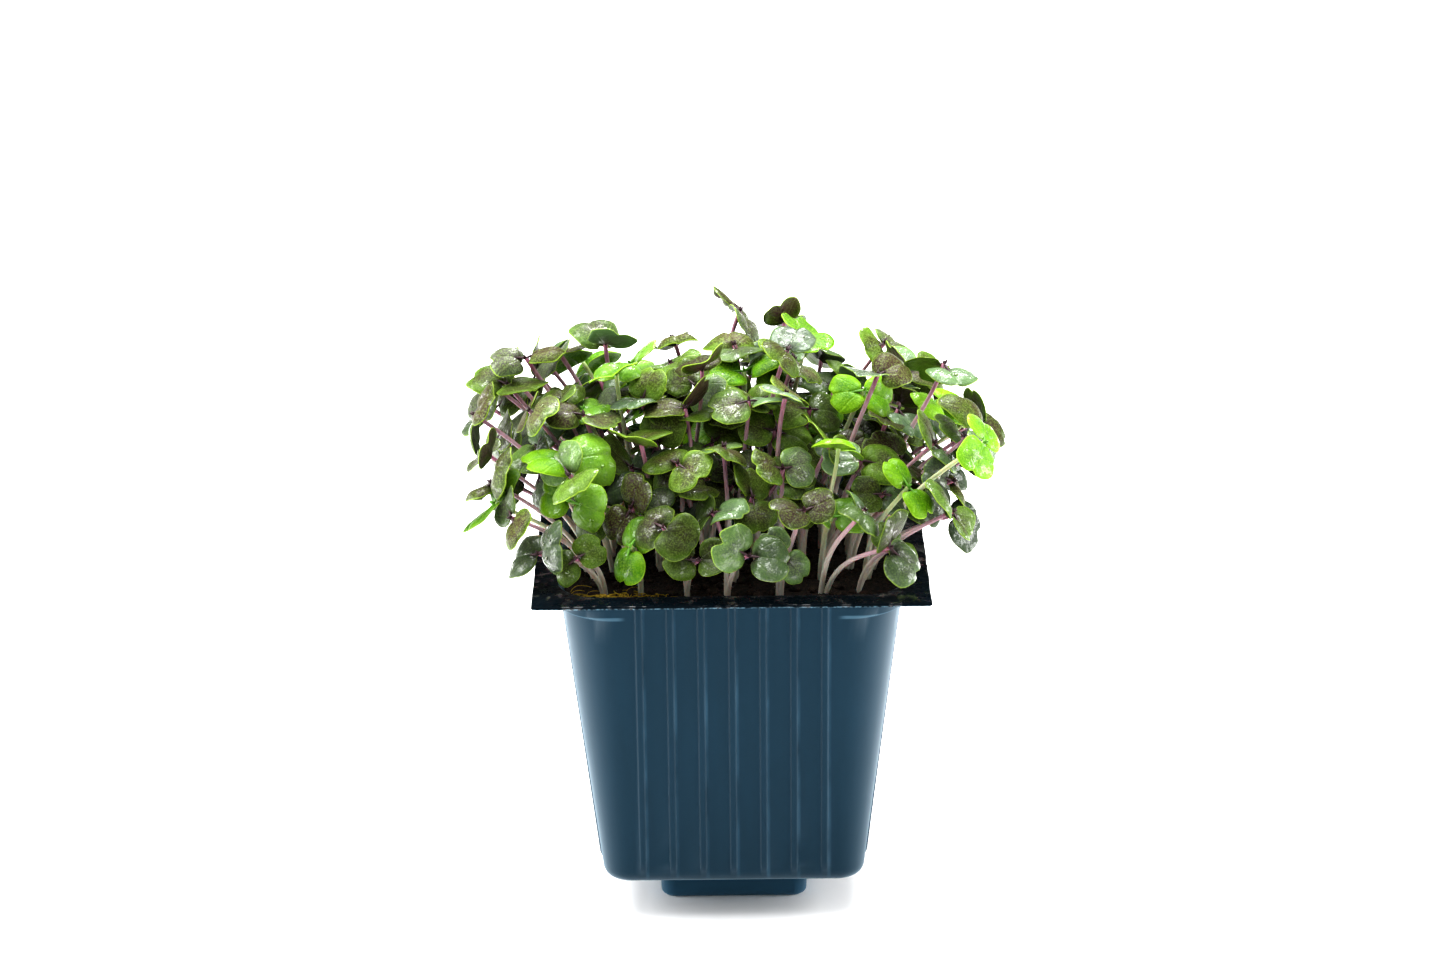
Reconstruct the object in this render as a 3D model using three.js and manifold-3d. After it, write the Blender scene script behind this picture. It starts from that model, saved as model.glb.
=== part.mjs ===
// A square nursery pot of dark opal basil seedlings, as a scene graph of closed solids.
// Millimetres, +Z up, the side seen from the front faces -Y. The origin is the centre of the
// underside of the pot's foot.

import * as THREE from "three";
import { mergeVertices } from "three/addons/utils/BufferGeometryUtils.js";
import Module from "manifold-3d";

const wasm = await Module();
wasm.setup();

// Driving dimensions of the pot, a thin formed sheet
const RIM_WIDTH = 90;
const RIM_CORNER = 0.8;
const MOUTH_WIDTH = 76; // outside of the wall, under the rim
const FLOOR_WIDTH = 60; // outside of the wall, carried on to the floor's level
const CORNER_RADIUS = 13; // of the wall near the rim
const FLOOR_CORNER = 6; // of the wall near the floor
const POT_HEIGHT = 85;
const FOOT_WIDTH = 35;
const FOOT_HEIGHT = 9.8;
const FOOT_CORNER = 3.5;
const FOOT_RADIUS = 1.2; // where the foot's sides turn into its underside
const SHEET = 0.8;
const LIP_RADIUS = 1.2; // where the sheet turns from the wall into the rim
const FLOOR_RADIUS = 2.4; // where the wall turns into the floor
const COLLAR_HEIGHT = 3; // the squarer band under the rim
const COLLAR_CORNER = 9.5;
const COLLAR_STEP = 0.5; // the height over which the wall widens into it
const RIB_COUNT = 7;
const RIB_PITCH = 7;
const RIB_WIDTH = 2;
const RIB_CREST = 1; // width of the rib's flat top
const RIB_PROUD = 0.6;
const DRAIN_RADIUS = 3;
const DRAIN_OFFSET = 9.5;

// Driving dimensions of the soil
const SOIL_BELOW_RIM = 3;
const SOIL_GAP = 0.3;
const SOIL_RELIEF = 0.5; // how far its waves rise and fall
const SOIL_CELLS = 8;
const HOLE_RADIUS = 3.2;
const HOLE_SIDES = 6;
const ROOT_DEPTH = 5;
const HOLE_BELOW_ROOT = 0.4;

// Driving dimensions of the seedlings
const SEED = 45;
const TRIES = 150;
const TUFTS_PER_ROW = 7;
const TUFT_REACH = 32.3; // the outer row's distance from the pot's middle
const TUFT_SHAKE = 3;
const MATES_PER_TUFT = 2;
const FULL_HEIGHT = 45; // of the tall ones in the middle, over the soil
const LEAST_HEIGHT = 12;
const SIDE_DROP = 5; // how much lower the outer rows are
const BACK_DROP = 3;
const FRONT_DROP = 23;
const FRONT_SLANT = 6; // the front row rises to the right by this, and falls to the left
const SIDE_LEAN = 19; // how far the outer rows lean out
const FRONT_LEAN = 7;
const STEM_HALF = 0.55; // half the width of a stem's square section
const STEM_BANDS = 4;
const STALK_LENGTH = 1.3;
const STALK_HALF_WIDTH = 0.45;
const BLADE_HALF = 0.3; // half a blade's thickness
const BUD_HEIGHT = 1.8;
const LEAF_LENGTH = [6.8, 8.6];
const LEAF_WIDTH = [1.32, 1.52]; // times its length

// What a stem or a leaf keeps clear of, between the points its distances are measured from
const LEAF_TO_LEAF = 1.9;
const LEAF_TO_STEM = 2.1;
const STEM_TO_STEM = 1.9;
const LEAF_OVER_RIM = 1.8;
const STEM_FROM_WALL = 1.5;
const STEM_FROM_SOIL = 2.2;
const LEAF_TO_OWN_STEM = 1.5;

// The tufts of the green seedlings, as row from the front and column from the left
const GREEN_TUFTS = ["0 1", "1 5", "1 6", "3 1", "3 5", "4 3", "4 6", "5 4", "6 1"];

const SOIL_LEVEL = POT_HEIGHT - SOIL_BELOW_RIM;

const COLOURS = {
  pot: { color: 0x22333f, roughness: 0.35, metalness: 0 },
  soil: { color: 0x2b1e14, roughness: 0.95, metalness: 0 },
  dark: { color: 0x4b5a36, roughness: 0.5, metalness: 0 },
  green: { color: 0x63b02a, roughness: 0.45, metalness: 0 },
};

// Random numbers from 0 to 1, the same ones each run
function seeded(seed) {
  let state = seed;
  return () => {
    state = (state * 1664525 + 1013904223) % 4294967296;
    return state / 4294967296;
  };
}

function between([low, high], random) {
  return low + (high - low) * random();
}

// A closed solid from points and triangles
function solidOf(points, triangles) {
  return new wasm.Manifold(
    new wasm.Mesh({
      numProp: 3,
      vertProperties: new Float32Array(points.flat()),
      triVerts: new Uint32Array(triangles.flat()),
    }),
  );
}

// A closed solid from a three.js geometry
function solidFromGeometry(geometry) {
  const bare = geometry.clone();
  bare.deleteAttribute("normal");
  bare.deleteAttribute("uv");
  const merged = mergeVertices(bare);
  return new wasm.Manifold(
    new wasm.Mesh({
      numProp: 3,
      vertProperties: merged.attributes.position.array,
      triVerts: new Uint32Array(merged.index.array),
    }),
  );
}

function geometryOf(solid) {
  const mesh = solid.getMesh();
  return new THREE.BufferGeometry()
    .setAttribute("position", new THREE.BufferAttribute(mesh.vertProperties, 3))
    .setIndex(new THREE.BufferAttribute(mesh.triVerts, 1));
}

function namedMesh(name, solid, colour) {
  const mesh = new THREE.Mesh(geometryOf(solid), new THREE.MeshStandardMaterial(colour));
  mesh.name = name;
  return mesh;
}

// Skins a stack of rings that have the same number of points, and closes both ends with fans
function loft(rings) {
  const count = rings[0].length;
  const last = (rings.length - 1) * count;
  const triangles = [];
  for (let ring = 0; ring + 1 < rings.length; ring++)
    for (let i = 0; i < count; i++) {
      const a = ring * count + i;
      const b = ring * count + ((i + 1) % count);
      triangles.push([a, b, b + count], [a, b + count, a + count]);
    }
  for (let i = 1; i + 1 < count; i++) {
    triangles.push([0, i + 1, i]);
    triangles.push([last, last + i, last + i + 1]);
  }
  return solidOf(rings.flat(), triangles);
}

// A square with round corners, anticlockwise seen from above
function roundedSquare(half, radius, z, steps = 4) {
  const points = [];
  for (let corner = 0; corner < 4; corner++) {
    const middle = ((corner + 0.5) * Math.PI) / 2;
    const x = Math.sign(Math.cos(middle)) * (half - radius);
    const y = Math.sign(Math.sin(middle)) * (half - radius);
    for (let step = 0; step <= steps; step++) {
      const angle = ((corner + step / steps) * Math.PI) / 2;
      points.push([x + radius * Math.cos(angle), y + radius * Math.sin(angle), z]);
    }
  }
  return points;
}

// Half the width of the wall's outside at a height, on its straight slope
function wallHalf(z) {
  const share = (z - FOOT_HEIGHT) / (POT_HEIGHT - FOOT_HEIGHT);
  return (FLOOR_WIDTH + (MOUTH_WIDTH - FLOOR_WIDTH) * share) / 2;
}

// Its corner radius there, which grows from the floor to the rim
function wallCorner(z) {
  const share = (z - FOOT_HEIGHT) / (POT_HEIGHT - FOOT_HEIGHT);
  return FLOOR_CORNER + (CORNER_RADIUS - FLOOR_CORNER) * share;
}

// A ring of the wall at a height, taken in from the pot's outside
function wallRing(z, inset) {
  return roundedSquare(wallHalf(z) - inset, wallCorner(z) - inset, z);
}

// The rings from the foot's underside up to the collar, taken in from the pot's outside
function potRings(inset) {
  const floor = FOOT_HEIGHT + inset;
  const foot = FOOT_WIDTH / 2 - inset;
  const wall = wallHalf(floor) - inset;
  const corner = wallCorner(floor) - inset;
  return [
    roundedSquare(foot - FOOT_RADIUS, FOOT_CORNER - 0.5, inset),
    roundedSquare(foot - 0.3 * FOOT_RADIUS, FOOT_CORNER, inset + 0.7 * FOOT_RADIUS),
    roundedSquare(foot, FOOT_CORNER, floor),
    roundedSquare(wall - FLOOR_RADIUS, corner - 0.8 * FLOOR_RADIUS, floor),
    roundedSquare(wall - 0.2 * FLOOR_RADIUS, corner - 0.2 * FLOOR_RADIUS, floor + 0.35 * FLOOR_RADIUS),
    wallRing(floor + FLOOR_RADIUS, inset),
    wallRing(POT_HEIGHT - COLLAR_HEIGHT - COLLAR_STEP + 0.7 * inset, inset),
  ];
}

// The squarer band under the rim, flaring where the sheet turns outwards
function collarRings(inset, top) {
  const radius = COLLAR_CORNER - inset;
  const start = POT_HEIGHT - COLLAR_HEIGHT + 0.7 * inset;
  const turn = POT_HEIGHT - LIP_RADIUS - SHEET + inset;
  return [
    roundedSquare(wallHalf(start) - inset, radius, start),
    roundedSquare(wallHalf(turn) - inset, radius, turn),
    roundedSquare(wallHalf(turn) - inset + LIP_RADIUS, radius + LIP_RADIUS, top),
  ];
}

// One rib of the front wall: a low trapezoid bar that leans with the wall
function ribSolid(x) {
  const ends = [FOOT_HEIGHT + FLOOR_RADIUS, POT_HEIGHT - SHEET / 2];
  const rings = ends.map((z) => {
    const wall = -wallHalf(z);
    return [
      [x - RIB_WIDTH / 2, wall + SHEET / 2, z],
      [x - RIB_WIDTH / 2, wall, z],
      [x - RIB_CREST / 2, wall - RIB_PROUD, z],
      [x + RIB_CREST / 2, wall - RIB_PROUD, z],
      [x + RIB_WIDTH / 2, wall, z],
      [x + RIB_WIDTH / 2, wall + SHEET / 2, z],
    ];
  });
  return loft(rings);
}

function drainSolid(x, y) {
  const drain = new THREE.CylinderGeometry(DRAIN_RADIUS, DRAIN_RADIUS, 3 * SHEET, 12);
  drain.rotateX(Math.PI / 2).translate(x, y, SHEET / 2);
  return solidFromGeometry(drain);
}

function buildPot() {
  let pot = loft([...potRings(0), ...collarRings(0, POT_HEIGHT - SHEET / 2)]);
  const rim = loft([
    roundedSquare(RIM_WIDTH / 2, RIM_CORNER, POT_HEIGHT - SHEET, 1),
    roundedSquare(RIM_WIDTH / 2, RIM_CORNER, POT_HEIGHT, 1),
  ]);
  pot = pot.add(rim);
  for (let side = 0; side < 4; side++)
    for (let rib = 0; rib < RIB_COUNT; rib++) {
      const x = (rib - (RIB_COUNT - 1) / 2) * RIB_PITCH;
      pot = pot.add(ribSolid(x).rotate([0, 0, 90 * side]));
    }
  pot = pot.subtract(loft([...potRings(SHEET), ...collarRings(SHEET, POT_HEIGHT + 0.2)]));
  for (const x of [-DRAIN_OFFSET, DRAIN_OFFSET])
    for (const y of [-DRAIN_OFFSET, DRAIN_OFFSET]) pot = pot.subtract(drainSolid(x, y));
  return pot;
}

// Low waves over the soil
function soilHeight(x, y) {
  const wave = Math.sin(0.31 * x + 1.3 * Math.sin(0.17 * y)) + Math.sin(0.27 * y - 0.8);
  return SOIL_LEVEL + (SOIL_RELIEF / 2) * wave;
}

// The soil: the pot's inside less a small gap, a rough top, and a plain hole for each tuft
function buildSoil(tufts) {
  const inset = SHEET + SOIL_GAP;
  const top = SOIL_LEVEL + 2 * SOIL_RELIEF;
  let soil = loft([...potRings(inset).slice(0, -1), wallRing(top, inset)]).subtract(airSolid());
  const bottom = SOIL_LEVEL - ROOT_DEPTH - HOLE_BELOW_ROOT;
  const depth = 2 * ROOT_DEPTH;
  for (const tuft of tufts) {
    const hole = new THREE.CylinderGeometry(HOLE_RADIUS, HOLE_RADIUS, depth, HOLE_SIDES);
    hole.rotateX(Math.PI / 2).translate(tuft.x, tuft.y, bottom + depth / 2);
    soil = soil.subtract(solidFromGeometry(hole));
  }
  return soil;
}

// The block of air over the soil, whose underside is the soil's wavy top on a square grid
function airSolid() {
  const cells = SOIL_CELLS;
  const points = [];
  for (let j = 0; j <= cells; j++)
    for (let i = 0; i <= cells; i++) {
      const x = MOUTH_WIDTH * (i / cells - 0.5);
      const y = MOUTH_WIDTH * (j / cells - 0.5);
      points.push([x, y, soilHeight(x, y)], [x, y, POT_HEIGHT]);
    }
  const at = (i, j, high) => 2 * (j * (cells + 1) + i) + high;
  const triangles = [];
  for (let j = 0; j < cells; j++)
    for (let i = 0; i < cells; i++) {
      triangles.push([at(i, j, 0), at(i + 1, j + 1, 0), at(i + 1, j, 0)]);
      triangles.push([at(i, j, 0), at(i, j + 1, 0), at(i + 1, j + 1, 0)]);
      triangles.push([at(i, j, 1), at(i + 1, j, 1), at(i + 1, j + 1, 1)]);
      triangles.push([at(i, j, 1), at(i + 1, j + 1, 1), at(i, j + 1, 1)]);
    }
  const edge = [];
  for (let i = 0; i < cells; i++) edge.push([i, 0]);
  for (let j = 0; j < cells; j++) edge.push([cells, j]);
  for (let i = cells; i > 0; i--) edge.push([i, cells]);
  for (let j = cells; j > 0; j--) edge.push([0, j]);
  edge.forEach(([i, j], k) => {
    const [m, n] = edge[(k + 1) % edge.length];
    triangles.push([at(i, j, 0), at(m, n, 0), at(m, n, 1)]);
    triangles.push([at(i, j, 0), at(m, n, 1), at(i, j, 1)]);
  });
  return solidOf(points, triangles);
}

// Small vector helpers on [x, y, z]
const add = (a, b) => [a[0] + b[0], a[1] + b[1], a[2] + b[2]];
const times = (a, k) => [a[0] * k, a[1] * k, a[2] * k];
const dot = (a, b) => a[0] * b[0] + a[1] * b[1] + a[2] * b[2];
const cross = (a, b) => [
  a[1] * b[2] - a[2] * b[1],
  a[2] * b[0] - a[0] * b[2],
  a[0] * b[1] - a[1] * b[0],
];
const unit = (a) => times(a, 1 / Math.sqrt(dot(a, a)));

// Where the tufts stand: a square grid, shaken a little and drawn in at the corners
function tuftPlaces(random) {
  const places = [];
  const middle = (TUFTS_PER_ROW - 1) / 2;
  for (let row = 0; row < TUFTS_PER_ROW; row++)
    for (let column = 0; column < TUFTS_PER_ROW; column++) {
      const across = (column - middle) / middle;
      const back = (row - middle) / middle;
      const drawnIn = 1 - 0.12 * across * across * back * back;
      const shakeX = TUFT_SHAKE * (random() - 0.5) * (1 - across * across);
      const shakeY = TUFT_SHAKE * (random() - 0.5) * (1 - back * back);
      places.push({
        x: TUFT_REACH * across * drawnIn + shakeX,
        y: TUFT_REACH * back * drawnIn + shakeY,
        turn: Math.PI * random(),
        row,
        column,
        across,
        back,
      });
    }
  return places;
}

// One seedling: its stem as a cubic curve, the frame at its head and the form of its two leaves.
// The outer rows lean out over the rim and the front ones are the lowest. Each further attempt
// at a seedling is a little lower and smaller, and leans less.
function drawSeedling(tuft, mate, attempt, random) {
  const { across, back } = tuft;
  const late = attempt / TRIES;
  const sideways = mate === 0 ? 1 : -1;
  const apart = [sideways * Math.cos(tuft.turn), sideways * Math.sin(tuft.turn), 0];
  const drop = back < 0 ? FRONT_DROP - FRONT_SLANT * across : BACK_DROP;
  const full = FULL_HEIGHT - SIDE_DROP * across * across - drop * back * back;
  const share = (1.08 - 0.3 * random()) * (1 - 0.25 * mate) * (1 - 0.4 * late);
  const height = Math.max(LEAST_HEIGHT, full * share);
  const upright = 1 - 0.35 * late;
  const lean = [
    SIDE_LEAN * across * Math.abs(across) * upright + 11 * (random() - 0.5) + 3 * apart[0],
    FRONT_LEAN * back * Math.abs(back) * upright + 10 * (random() - 0.5) + 3 * apart[1],
    0,
  ];
  const crown = [tuft.x + 0.25 * apart[0], tuft.y + 0.25 * apart[1], SOIL_LEVEL - ROOT_DEPTH];
  const head = add(add(crown, lean), [0, 0, ROOT_DEPTH + height]);
  const along = unit([
    1.3 * lean[0] + 0.5 * height * (random() - 0.5),
    1.3 * lean[1] + 0.55 * height * (random() - 0.7),
    0.8 * height,
  ]);
  const curve = [
    crown,
    add(crown, [0.5 * apart[0], 0.5 * apart[1], ROOT_DEPTH + Math.max(9, 0.45 * height)]),
    add(head, times(along, -0.38 * height)),
    head,
  ];
  const turn = Math.PI * random();
  const right = unit(cross(along, [Math.cos(turn), Math.sin(turn), 0.31]));
  const length = between(LEAF_LENGTH, random) * (1 - 0.3 * late);
  const width = length * between(LEAF_WIDTH, random);
  const leaves = [1, -1].map((way) => {
    const pitch = -0.4 + 1.15 * random();
    const roll = 0.8 * (random() - 0.5);
    const flat = times(right, way);
    const out = add(times(flat, Math.cos(pitch)), times(along, Math.sin(pitch)));
    const level = unit(cross(along, flat));
    const normal = cross(out, level);
    return {
      out,
      side: add(times(level, Math.cos(roll)), times(normal, Math.sin(roll))),
      up: add(times(normal, Math.cos(roll)), times(level, -Math.sin(roll))),
      length: length * (0.92 + 0.16 * random()),
      width,
      droop: -0.34 + 0.42 * random(),
      cup: -0.24 + 0.42 * random(),
      twist: 0.36 * (random() - 0.5),
    };
  });
  return { curve, head, along, leaves };
}

// A point of a leaf: u runs from the stalk's end to the tip, v from edge to edge, -1 to 1
function leafPoint(seedling, leaf, u, v) {
  const rise = leaf.droop * u * u + leaf.cup * v * v * (0.5 + 0.5 * u) + leaf.twist * u * v;
  return add(
    add(seedling.head, times(leaf.out, STALK_LENGTH + u * leaf.length)),
    add(times(leaf.side, (v * leaf.width) / 2), times(leaf.up, rise * leaf.length)),
  );
}

function curvePoint(curve, t) {
  const s = 1 - t;
  const weights = [s * s * s, 3 * s * s * t, 3 * s * t * t, t * t * t];
  return curve.reduce((sum, point, i) => add(sum, times(point, weights[i])), [0, 0, 0]);
}

// The places on a leaf, in u and v, that its distance to other things is measured from
const LEAF_SAMPLES = [
  ...[-0.6, -0.2, 0.2, 0.6].map((v) => [0.02, v]),
  ...[-0.95, -0.4, 0, 0.4, 0.95].map((v) => [0.26, v]),
  ...[-0.9, -0.45, 0, 0.45, 0.9].map((v) => [0.5, v]),
  ...[-0.7, -0.35, 0, 0.35, 0.7].map((v) => [0.74, v]),
  ...[-0.3, 0, 0.3].map((v) => [0.92, v]),
];
const STEM_SAMPLES = 30;

function samplesOf(seedling) {
  const leaf = seedling.leaves.flatMap((one) =>
    LEAF_SAMPLES.map(([u, v]) => leafPoint(seedling, one, u, v)),
  );
  const whole = [];
  for (let i = 0; i < STEM_SAMPLES; i++) whole.push(curvePoint(seedling.curve, i / (STEM_SAMPLES - 1)));
  return { leaf, whole, stem: whole.filter((point) => point[2] > POT_HEIGHT) };
}

function closerThan(some, others, distance) {
  const limit = distance * distance;
  return some.some(([x, y, z]) =>
    others.some((other) => (x - other[0]) ** 2 + (y - other[1]) ** 2 + (z - other[2]) ** 2 < limit),
  );
}

// Whether a point of a stem is over the rim or off the pot's wall
function offTheWall([x, y, z]) {
  if (z > POT_HEIGHT + STEM_FROM_WALL) return true;
  const flat = MOUTH_WIDTH / 2 - SHEET - CORNER_RADIUS;
  const outX = Math.max(0, Math.abs(x) - flat);
  const outY = Math.max(0, Math.abs(y) - flat);
  return Math.sqrt(outX * outX + outY * outY) < CORNER_RADIUS - STEM_FROM_WALL;
}

// Whether a point of a stem is over the soil or well inside its hole
function inTheHole(tuft, [x, y, z]) {
  if (z > SOIL_LEVEL + STEM_FROM_SOIL) return true;
  const room = HOLE_RADIUS * Math.cos(Math.PI / HOLE_SIDES) - 1.8 * STEM_HALF - SOIL_GAP;
  return Math.sqrt((x - tuft.x) ** 2 + (y - tuft.y) ** 2) < room;
}

function isClear(tuft, samples, grown, mateStems) {
  return (
    samples.whole.every((point) => offTheWall(point) && inTheHole(tuft, point)) &&
    samples.leaf.every((point) => point[2] > POT_HEIGHT + LEAF_OVER_RIM) &&
    !closerThan(samples.leaf, samples.stem.slice(0, -5), LEAF_TO_OWN_STEM) &&
    !closerThan(samples.leaf, grown.leaf, LEAF_TO_LEAF) &&
    !closerThan(samples.leaf, [...grown.stem, ...mateStems], LEAF_TO_STEM) &&
    !closerThan(samples.stem, grown.leaf, LEAF_TO_STEM) &&
    !closerThan(samples.stem, grown.stem, STEM_TO_STEM)
  );
}

// Grows the tufts from the outermost inwards, and draws a seedling again until it is clear of
// the others. The stems of one tuft may touch, because they share their foot.
function growTufts() {
  const random = seeded(SEED);
  const tufts = tuftPlaces(random);
  const outward = (tuft) => Math.max(Math.abs(tuft.across), Math.abs(tuft.back));
  const order = [...tufts].sort((a, b) => outward(b) - outward(a));
  const grown = { leaf: [], stem: [] };
  for (const tuft of order) {
    tuft.seedlings = [];
    const stems = [];
    for (let mate = 0; mate < MATES_PER_TUFT; mate++)
      for (let attempt = 0; attempt < TRIES; attempt++) {
        const seedling = drawSeedling(tuft, mate, attempt, random);
        const samples = samplesOf(seedling);
        if (!isClear(tuft, samples, grown, stems)) continue;
        grown.leaf.push(...samples.leaf);
        stems.push(...samples.stem);
        tuft.seedlings.push(seedling);
        break;
      }
    grown.stem.push(...stems);
  }
  return tufts.filter((tuft) => tuft.seedlings.length > 0);
}

// The outline of a seed leaf past its stalk, anticlockwise from above: two lobes at the base, a
// half disc and a shallow notch at the tip
const LEAF_OUTLINE = [
  [-0.04, -0.55],
  [0.24, -1],
  [0.8, -0.7],
  [0.95, 0],
  [0.8, 0.7],
  [0.24, 1],
  [-0.04, 0.55],
];
const LEAF_MIDDLE = [0.42, 0];

// The four corners of the stem's section at a point, anticlockwise from above
function stemCorners(centre, along, right, half) {
  const flat = unit(add(right, times(along, -dot(right, along))));
  const front = cross(along, flat);
  return [
    [1, 1],
    [-1, 1],
    [-1, -1],
    [1, -1],
  ].map(([a, b]) => add(centre, add(times(flat, a * half), times(front, b * half))));
}

// One seedling as a single closed surface: the stem, its head with a pointed bud, and a leaf on
// a stalk at each side of the head
function seedlingSolid(seedling) {
  const { curve, head, along, leaves } = seedling;
  const points = [];
  const triangles = [];
  const put = (point) => points.push(point) - 1;
  const quad = (a, b, c, d) => triangles.push([a, b, c], [a, c, d]);
  const tube = (low, high) =>
    low.forEach((corner, i) => {
      const j = (i + 1) % low.length;
      quad(corner, low[j], high[j], high[i]);
    });

  let ring = null;
  for (let band = 0; band <= STEM_BANDS; band++) {
    const t = band / STEM_BANDS;
    const slope = unit(add(curvePoint(curve, t + 0.01), times(curvePoint(curve, t - 0.01), -1)));
    const centre = band === STEM_BANDS ? add(head, times(along, -BLADE_HALF)) : curvePoint(curve, t);
    const direction = band === STEM_BANDS ? along : slope;
    const half = STEM_HALF * (1.2 - 0.3 * t);
    const next = stemCorners(centre, direction, leaves[0].out, half).map(put);
    if (ring) tube(ring, next);
    else quad(next[3], next[2], next[1], next[0]);
    ring = next;
  }
  const lower = ring;
  const over = add(head, times(along, BLADE_HALF));
  const upper = stemCorners(over, along, leaves[0].out, STEM_HALF * 0.9).map(put);
  const tip = put(add(head, times(along, BUD_HEIGHT)));
  upper.forEach((corner, i) => triangles.push([corner, upper[(i + 1) % 4], tip]));
  quad(lower[0], lower[1], upper[1], upper[0]);
  quad(lower[2], lower[3], upper[3], upper[2]);

  leaves.forEach((leaf, which) => {
    const [from, to] = which === 0 ? [3, 0] : [1, 2];
    const stalk = (STALK_HALF_WIDTH * 2) / leaf.width;
    const outline = [[0, -stalk], ...LEAF_OUTLINE, [0, stalk]];
    const raised = (u, v, way) =>
      put(add(leafPoint(seedling, leaf, u, v), times(leaf.up, way * BLADE_HALF)));
    const top = outline.map(([u, v]) => raised(u, v, 1));
    const below = outline.map(([u, v]) => raised(u, v, -1));
    const topMiddle = raised(...LEAF_MIDDLE, 1);
    const belowMiddle = raised(...LEAF_MIDDLE, -1);
    const last = outline.length - 1;
    tube([lower[from], lower[to], upper[to], upper[from]], [below[0], below[last], top[last], top[0]]);
    outline.forEach((_, i) => {
      const j = (i + 1) % outline.length;
      triangles.push([topMiddle, top[i], top[j]], [belowMiddle, below[j], below[i]]);
      if (i < last) quad(below[i], below[j], top[j], top[i]);
    });
  });
  return solidOf(points, triangles);
}

// The seedlings of a tuft, joined where their feet meet in the soil
function buildTuft(tuft) {
  return tuft.seedlings.map(seedlingSolid).reduce((one, other) => one.add(other));
}

const tufts = growTufts();
const group = new THREE.Group();
group.name = "potted_dark_opal_basil";
group.add(namedMesh("pot", buildPot(), COLOURS.pot));
group.add(namedMesh("soil", buildSoil(tufts), COLOURS.soil));
tufts.forEach((tuft, index) => {
  const name = `seedlings_${String(index + 1).padStart(2, "0")}`;
  const colour = GREEN_TUFTS.includes(`${tuft.row} ${tuft.column}`) ? COLOURS.green : COLOURS.dark;
  group.add(namedMesh(name, buildTuft(tuft), colour));
});

export default group;
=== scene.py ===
# The looks of a square nursery pot of dark opal basil seedlings.
#
# The seedlings grow by the same seeded rule as in the part's source, so each fine one stands
# where its solid does. Lengths are in millimetres until a mesh is made, and objects are in metres.

import math
import random
from collections import defaultdict, namedtuple

import bmesh
import bpy
import numpy as np
from mathutils import Matrix, Vector, noise


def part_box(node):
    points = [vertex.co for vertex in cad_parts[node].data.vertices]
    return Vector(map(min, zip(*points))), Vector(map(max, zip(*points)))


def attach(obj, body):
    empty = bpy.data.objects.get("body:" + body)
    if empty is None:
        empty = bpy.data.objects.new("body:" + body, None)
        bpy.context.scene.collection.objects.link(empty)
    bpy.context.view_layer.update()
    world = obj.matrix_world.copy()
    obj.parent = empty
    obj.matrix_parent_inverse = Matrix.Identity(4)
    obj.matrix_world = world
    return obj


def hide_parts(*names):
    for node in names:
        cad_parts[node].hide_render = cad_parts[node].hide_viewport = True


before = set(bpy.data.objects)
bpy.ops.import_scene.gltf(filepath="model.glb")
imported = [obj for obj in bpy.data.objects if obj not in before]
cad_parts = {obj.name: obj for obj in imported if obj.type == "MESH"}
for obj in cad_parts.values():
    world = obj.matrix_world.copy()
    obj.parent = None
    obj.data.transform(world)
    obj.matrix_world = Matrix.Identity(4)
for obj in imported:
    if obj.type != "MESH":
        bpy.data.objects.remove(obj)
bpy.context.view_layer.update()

MM = 0.001  # metres in a millimetre

# The pot, as in the part's source
POT_LOW, POT_HIGH = (np.round(np.array(corner) / MM, 2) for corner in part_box("pot"))
RIM_WIDTH = POT_HIGH[0] - POT_LOW[0]
POT_HEIGHT = POT_HIGH[2]
RIM_CORNER = 0.8
MOUTH_WIDTH = 76
FLOOR_WIDTH = 60
CORNER_RADIUS = 13
FLOOR_CORNER = 6
FOOT_WIDTH = 35
FOOT_HEIGHT = 9.8
FOOT_CORNER = 3.5
FOOT_RADIUS = 1.2
SHEET = 0.8
LIP_RADIUS = 1.2
FLOOR_RADIUS = 2.4
COLLAR_CORNER = 9.5
COLLAR_STEP = 0.5
RIB_COUNT = 7
RIB_PITCH = 7
RIB_FOOT = 1.0  # half the width of a rib at its foot
RIB_CREST = 0.5  # half the width of its flat top
RIB_PROUD = 0.6
DRAIN_RADIUS = 3
DRAIN_OFFSET = 9.5

# How the fine pot differs from its plain solid
FOOT_TAPER = 0.4  # how much the foot narrows on each side on its way down
COLLAR_HEIGHT = 5.5  # the plain solid's collar is 3 mm high, and hidden by the rim in front
WALL_MOUTH = 78.6  # how wide the walls flare, a little more than the plain solid's
CUT_RAGGED = 0.22  # how far the rim's cut edge strays
RIM_WARP = 0.25
WALL_WARP = 0.12
RIBBED_HALF = 23  # from a side's middle to past its last rib, where the painted highlight lines end
DRAIN_SIDES = 28

# The soil
SOIL_LEVEL = POT_HEIGHT - 3
SOIL_GAP = 0.3
SOIL_RELIEF = 0.5
CRUMB_COUNT = 520
CRUMB_SIZE = (0.45, 1.5)
BED_RINGS = 56
BED_WAVES = [(2.6, 0.42), (1.1, 0.3), (0.5, 0.16)]  # the size and height of the crumbly top's waves
FIBRE_COUNT = 110
FIBRE_LENGTH = (2.5, 6)
FIBRE_RADIUS = (0.07, 0.17)
FIBRE_PLACE = (-27.0, -34.0)  # the middle of the golden patch of fibre
FIBRE_SPREAD = (8.0, 2.4)

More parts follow.
